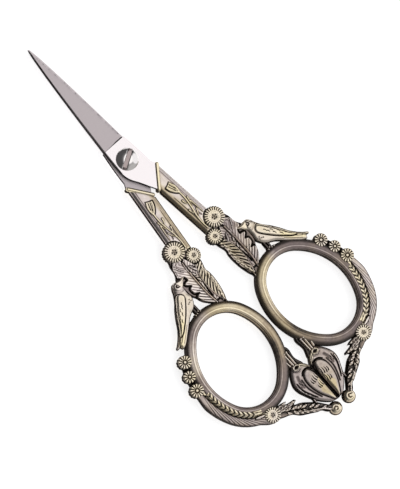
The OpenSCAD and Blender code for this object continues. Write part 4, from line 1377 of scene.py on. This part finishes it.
class SCISSORS_OT_lower_birds(bpy.types.Operator):
    """Model the two small birds that meet below the bows"""

    bl_idname = "scissors.lower_birds"
    bl_label = "Lower birds"

    # Heights are measured from the daisy at the foot of the bow
    body = [(0.16, 2.4), (0.3, 3.1), (0.95, 3.75), (1.5, 5.0), (2.4, 5.9), (3.5, 6.35), (4.6, 6.0),
            (5.6, 5.0), (6.5, 3.7), (7.15, 2.3), (7.4, 1.0), (7.2, -0.6), (6.5, -2.3), (5.6, -4.2),
            (4.5, -5.8), (3.2, -7.2), (1.9, -8.2), (0.5, -8.5), (0.14, -8.3), (0.14, -5), (0.14, -1)]
    wing = [(2.1, 3.0), (3.1, 2.4), (3.75, 1.2), (3.9, -0.4), (3.7, -2.2), (3.1, -4.2), (2.2, -6.0),
            (1.1, -7.8), (0.55, -8.0), (0.42, -6.4), (0.4, -3.5), (0.42, -0.8), (0.7, 1.4), (1.3, 2.7)]
    beak = [(0.16, 3.1), (0.5, 3.95), (1.15, 4.85), (2.3, 5.75), (3.0, 5.2), (2.3, 4.2), (1.3, 3.5),
            (0.5, 3.0)]
    eye = (3.4, 5.15)
    # The bird keeps this far from the centre line, where the other one begins
    limit = (0.14, -np.inf)

    def execute(self, context):
        plan = Plan(context.scene.scissors_handles)
        at = np.array([0, plan.foot_daisy[1]])
        form = Relief(np.maximum(ring_at(self.body, at), self.limit), step=plan.grain * 0.9)
        form.swell(0.95, 1.66, 1.4)
        form.brass[:] = 0.1
        form.finish_and_shade = 0.7 * (1 - ramp(form.plan[:, 0], 0.16, 0.42))
        self.plumage(form, at)
        self.head(form, at)
        body = form.shell(tone=0.6, contrast=2.8, edge=0.5)
        shells = [body, self.beak_shell(plan, at), *self.crest(plan, at)]
        pair(context, "lower_bird", joined(*shells), "grey_brass")
        return {"FINISHED"}

    def plumage(self, form, at):
        """Wing, feather marks, the back's edge rubbed bright as a painted highlight, and painted shade on the
        body.
        """
        wing = ring_at(self.wing, at)
        on, gap = form.pillow(wing, 0.14, 0.32, 1.3)
        round_wing = np.maximum(form.finish_and_shade, 1.1 * bell(gap / 0.45))
        form.finish_and_shade = np.where(on, 0.3 * (1 - ramp(gap, 0, 0.4)), round_wing)
        form.tint(wing, 0.2, 0.5)
        for x, y, tall in ((1.0, 0.9, 1.5), (1.65, 0.75, 1.7), (2.3, 0.45, 1.6), (2.9, 0.05, 1.2),
                           (1.0, -1.45, 1.5), (1.6, -1.65, 1.6), (2.15, -2.0, 1.2)):
            stroke = [(x, y), (x + 0.08, y - tall / 2), (x - 0.14, y - tall)]
            form.grooves(at, (stroke, 0.46, 0.16, 0.8, (0.15, 1)))
        yellow = np.array([(0.4, 0.4), (1.2, -0.6), (2.2, -2.4), (2.8, -4.4), (1.0, -8), (0.4, -8)]) + at
        form.tint(yellow, 1.0, 0.6)
        form.ridges(at, ([(6.85, 0.9), (6.6, -0.8), (5.85, -2.6), (5.05, -4.2)], 0.5, 0.3, (1, 1), 0.2))
        # The second groove paints shade on the body beside the wing, and the third, broad and shallow, a dark
        # patch on the flank
        form.grooves(
            at,
            ([(6.3, 1.6), (6.1, -0.8), (5.35, -2.7), (4.4, -4.6)], 0.6, 0.1, 0.6),
            ([(4.6, 1.6), (4.75, -0.8), (4.3, -2.8), (3.4, -5.2)], 0.7, 0.1, 0.5),
            ([(4.9, 2.9), (5.4, 1.2), (5.3, -0.2)], 1.2, 0.08, 0.35),
        )
        for x, y in [(5.0, 1.6), (5.7, 1.5), (5.3, 0.8), (5.9, 0.4), (4.9, 0.2)]:
            form.groove(np.array([(x, y), (x - 0.05, y - 0.5)]) + at, 0.26, 0.1, 0.6)

    def head(self, form, at):
        """Eye, cheek, beak and the hollow under it."""
        under_beak = [(0.3, 2.2), (0.9, 3.0), (1.9, 3.35), (3.0, 3.1), (3.7, 2.4)]
        form.grooves(at, (under_beak, 0.75, 0.3, 1.2, (0.9, 0.5)))
        eye = np.array(self.eye) + at
        form.mound(eye, 1.5, 0.26)
        gap = np.linalg.norm((form.plan - eye) / (1.35, 0.9), axis=1)
        lid = bell((gap - 0.7) / 0.26)
        form.relief += 0.2 * lid - 0.1 * (gap < 0.42)
        form.finish_and_shade = np.where(gap < 0.42, 1.2, form.finish_and_shade - 1.5 * lid)
        form.brass = np.maximum(form.brass, 0.6 * lid)
        form.grooves(at, ([(4.5, 4.3), (3.6, 3.9), (2.8, 4.1)], 0.26, 0.1, 0.7))

    def beak_shell(self, plan, at):
        """The beak, with the line between its halves."""
        form = Relief(np.maximum(ring_at(self.beak, at, 4), self.limit), step=plan.grain * 0.8)
        form.swell(1.2, 1.8, 0.6)
        form.brass[:] = 0.45
        form.grooves(at, ([(0.5, 3.4), (1.4, 4.25), (2.5, 5.0)], 0.4, 0.2, 1.1, (0.5, 1)))
        return form.shell(tone=0.95, contrast=1.5, edge=0.4)

    def crest(self, plan, at):
        """The web and the three beaded rods that join the bird to its bow, and its leg."""
        web = [(1.75, 11.2), (1.45, 10.0), (1.72, 8.4), (1.75, 7.3), (1.4, 6.2), (1.0, 5.1), (1.4, 4.4),
               (4.4, 5.2), (4.9, 7.2), (4.6, 8.8), (3.4, 10.6), (2.6, 11.6)]
        form = Relief(ring_at(web, at, 4), step=plan.grain)
        form.swell(0.9, 1.25, 0.4)
        form.finish_and_shade[:] = 0.6
        form.brass[:] = 0.2
        # The rods, each with a bright bead on its top
        for top, foot in (((2.7, 10.0), (2.8, 6.1)), ((3.65, 10.0), (3.5, 5.9)), ((4.75, 9.0), (4.4, 6.4))):
            path = np.array([foot, top]) + at
            form.ridge(path, 0.6, 0.42)
            form.mound(path[1], 0.48, 0.68)
            form.finish_and_shade[np.linalg.norm(form.plan - path[1], axis=1) < 0.45] = -0.8
        rods = form.shell(tone=0.62, contrast=2)
        leg = Relief(ring_at([(5.1, -3.6), (5.6, -3.7), (5.7, -5.8), (5.2, -5.8)], at, 4), step=plan.grain)
        leg.swell(0.9, 1.2, 0.25)
        return [rods, leg.shell(tone=0.45)]


class SCISSORS_OT_stage(bpy.types.Operator):
    """Set the camera, the soft studio light and the pale floor"""

    bl_idname = "scissors.stage"
    bl_label = "Stage"

    # Size of the photograph, and the place of the pivot's axis in it, in its pixels
    photo = (400, 489)
    pivot = (127.6, 158.9)
    # Direction of the handles in the photograph
    handles = (0.6656, 0.7463)
    screw_top = 4.7
    # Share of the white backdrop that metal shows besides the studio's ceiling and dark curtains
    white_in_metal = 0.06
    # The ceiling, the window and the grey wall: where each is, and its colours from beside it to its middle
    panels = [
        ((0.3, -0.1, 1), [(0.0, (0.01, 0.01, 0.012)), (0.62, (0.02, 0.02, 0.022)), (0.76, (0.1, 0.1, 0.105)),
                          (0.84, (0.4, 0.39, 0.4)), (0.89, (0.85, 0.84, 0.85)), (0.93, (1, 1, 1))]),
        ((0.8, -0.42, 0.42), [(0.76, (0, 0, 0)), (0.84, (0.35, 0.35, 0.36)), (0.9, (0.85, 0.85, 0.87))]),
        ((0, -1, 0.3), [(0.3, (0, 0, 0)), (0.7, (0.2, 0.2, 0.2)), (0.92, (0.4, 0.4, 0.4))]),
    ]
    # Half the floor's side in metres, and its glow to the camera and in the metal
    floor_reach = 3.0
    floor_glow = 0.75
    # Height of the camera's sensor, and how far it sees
    sensor = 24
    farthest = 20

    def execute(self, context):
        settings = context.scene.scissors_stage
        self.camera(settings)
        self.world(settings)
        self.floor()
        context.scene.view_settings.view_transform = "Standard"
        return {"FINISHED"}

    def camera(self, settings):
        """A long lens that looks down from a little left of upright."""
        lean = settings.lean
        across = Vector((math.cos(lean), 0, math.sin(lean)))
        along_y = Vector((0, 1, 0))
        s, c = self.handles
        right = c * across - s * along_y
        up = s * across + c * along_y
        back = right.cross(up)
        scale = settings.frame_height / self.photo[1]
        aside = (self.photo[0] / 2 - self.pivot[0]) * scale
        above = -(self.photo[1] / 2 - self.pivot[1]) * scale
        target = Vector((0, 0, self.screw_top * MM)) + right * aside + up * above
        data = bpy.data.cameras.new("camera")
        data.sensor_fit = "VERTICAL"
        data.sensor_height = self.sensor
        data.lens = data.sensor_height * settings.distance / settings.frame_height
        data.clip_end = self.farthest
        camera = bpy.data.objects.new("camera", data)
        turn = Matrix((right, up, back)).transposed().to_4x4()
        camera.matrix_world = Matrix.Translation(target + back * settings.distance) @ turn
        bpy.context.scene.collection.objects.link(camera)
        bpy.context.scene.camera = camera

    def world(self, settings):
        """A bright ceiling, a window on the right, a grey wall below it and dark curtains elsewhere."""
        world = bpy.data.worlds.new("studio")
        bpy.context.scene.world = world
        world.use_nodes = True
        tree = world.node_tree
        tree.nodes.clear()
        place = add_node(tree, "TexCoord").outputs["Generated"]
        glow = (0, 0, 0)
        for direction, stops in self.panels:
            toward = Vector(direction).normalized()
            facing = add_node(tree, "VectorMath", {0: place, 1: toward}, operation="DOT_PRODUCT")
            panel = colour_ramp(tree, facing.outputs["Value"], stops)
            glow = add_node(tree, "VectorMath", {0: glow, 1: panel}, operation="MAXIMUM").outputs[0]
        lit = add_node(tree, "Background", {"Color": glow, "Strength": settings.light})
        white = add_node(tree, "Background", {"Color": (1, 1, 1, 1)})
        rays = add_node(tree, "LightPath").outputs
        seen = maths(tree, "MAXIMUM", rays["Is Camera Ray"], rays["Is Transmission Ray"])
        part = maths(tree, "MULTIPLY_ADD", rays["Is Glossy Ray"], self.white_in_metal, seen)
        mix = add_node(tree, "MixShader", {0: part, 1: lit.outputs[0], 2: white.outputs[0]})
        add_node(tree, "OutputWorld", {0: mix.outputs[0]})

    def floor(self):
        """A pale floor that shows white and keeps a soft shadow."""
        reach = self.floor_reach / MM
        corners = [(-reach, -reach, 0), (reach, -reach, 0), (reach, reach, 0), (-reach, reach, 0)]
        material, tree, shader = new_material("paper_floor")
        rays = add_node(tree, "LightPath").outputs
        seen = maths(tree, "MAXIMUM", rays["Is Camera Ray"], rays["Is Glossy Ray"])
        seen = maths(tree, "MAXIMUM", seen, rays["Is Transmission Ray"])
        wire(tree, shader, {
            "Metallic": 0,
            "Roughness": 1,
            "Base Color": (0.9, 0.9, 0.9, 1),
            "Specular IOR Level": 0,
            "Emission Color": (1, 1, 1, 1),
            "Emission Strength": maths(tree, "MULTIPLY", seen, self.floor_glow),
        })
        floor = made("floor", corners, [(0, 1, 2, 3)], [material])


class SCISSORS_PT_panel(bpy.types.Panel):
    """The scissors' pieces and stage"""

    bl_label = "Embroidery Scissors"
    bl_space_type = "VIEW_3D"
    bl_region_type = "UI"
    bl_category = "Scissors"

    def draw(self, context):
        for operator in OPERATORS:
            self.layout.operator(operator.bl_idname)
        for group, _ in GROUPS:
            settings = getattr(context.scene, group)
            box = self.layout.box()
            for name in settings.__annotations__:
                box.prop(settings, name)


GROUPS = (
    ("scissors_blades", BladeSizes),
    ("scissors_screw", ScrewSizes),
    ("scissors_handles", HandleSizes),
    ("scissors_finish", FinishColours),
    ("scissors_stage", StageSettings),
)
OPERATORS = (
    SCISSORS_OT_stage,
    SCISSORS_OT_blades,
    SCISSORS_OT_screw,
    SCISSORS_OT_collars,
    SCISSORS_OT_shanks,
    SCISSORS_OT_daisies,
    SCISSORS_OT_bows,
    SCISSORS_OT_leaf_sprays,
    SCISSORS_OT_perched_birds,
    SCISSORS_OT_garlands,
    SCISSORS_OT_finial_branches,
    SCISSORS_OT_lower_birds,
)


def register():
    """Adds the settings, the operators and the panel."""
    for group, kind in GROUPS:
        bpy.utils.register_class(kind)
        setattr(bpy.types.Scene, group, PointerProperty(type=kind))
    for kind in (*OPERATORS, SCISSORS_PT_panel):
        bpy.utils.register_class(kind)


def unregister():
    """Takes them away again."""
    for kind in (SCISSORS_PT_panel, *reversed(OPERATORS)):
        bpy.utils.unregister_class(kind)
    for group, kind in reversed(GROUPS):
        delattr(bpy.types.Scene, group)
        bpy.utils.unregister_class(kind)


def main():
    """Models every piece."""
    register()
    for operator in OPERATORS:
        group, name = operator.bl_idname.split(".")
        getattr(getattr(bpy.ops, group), name)()


if __name__ == "__main__":
    main()
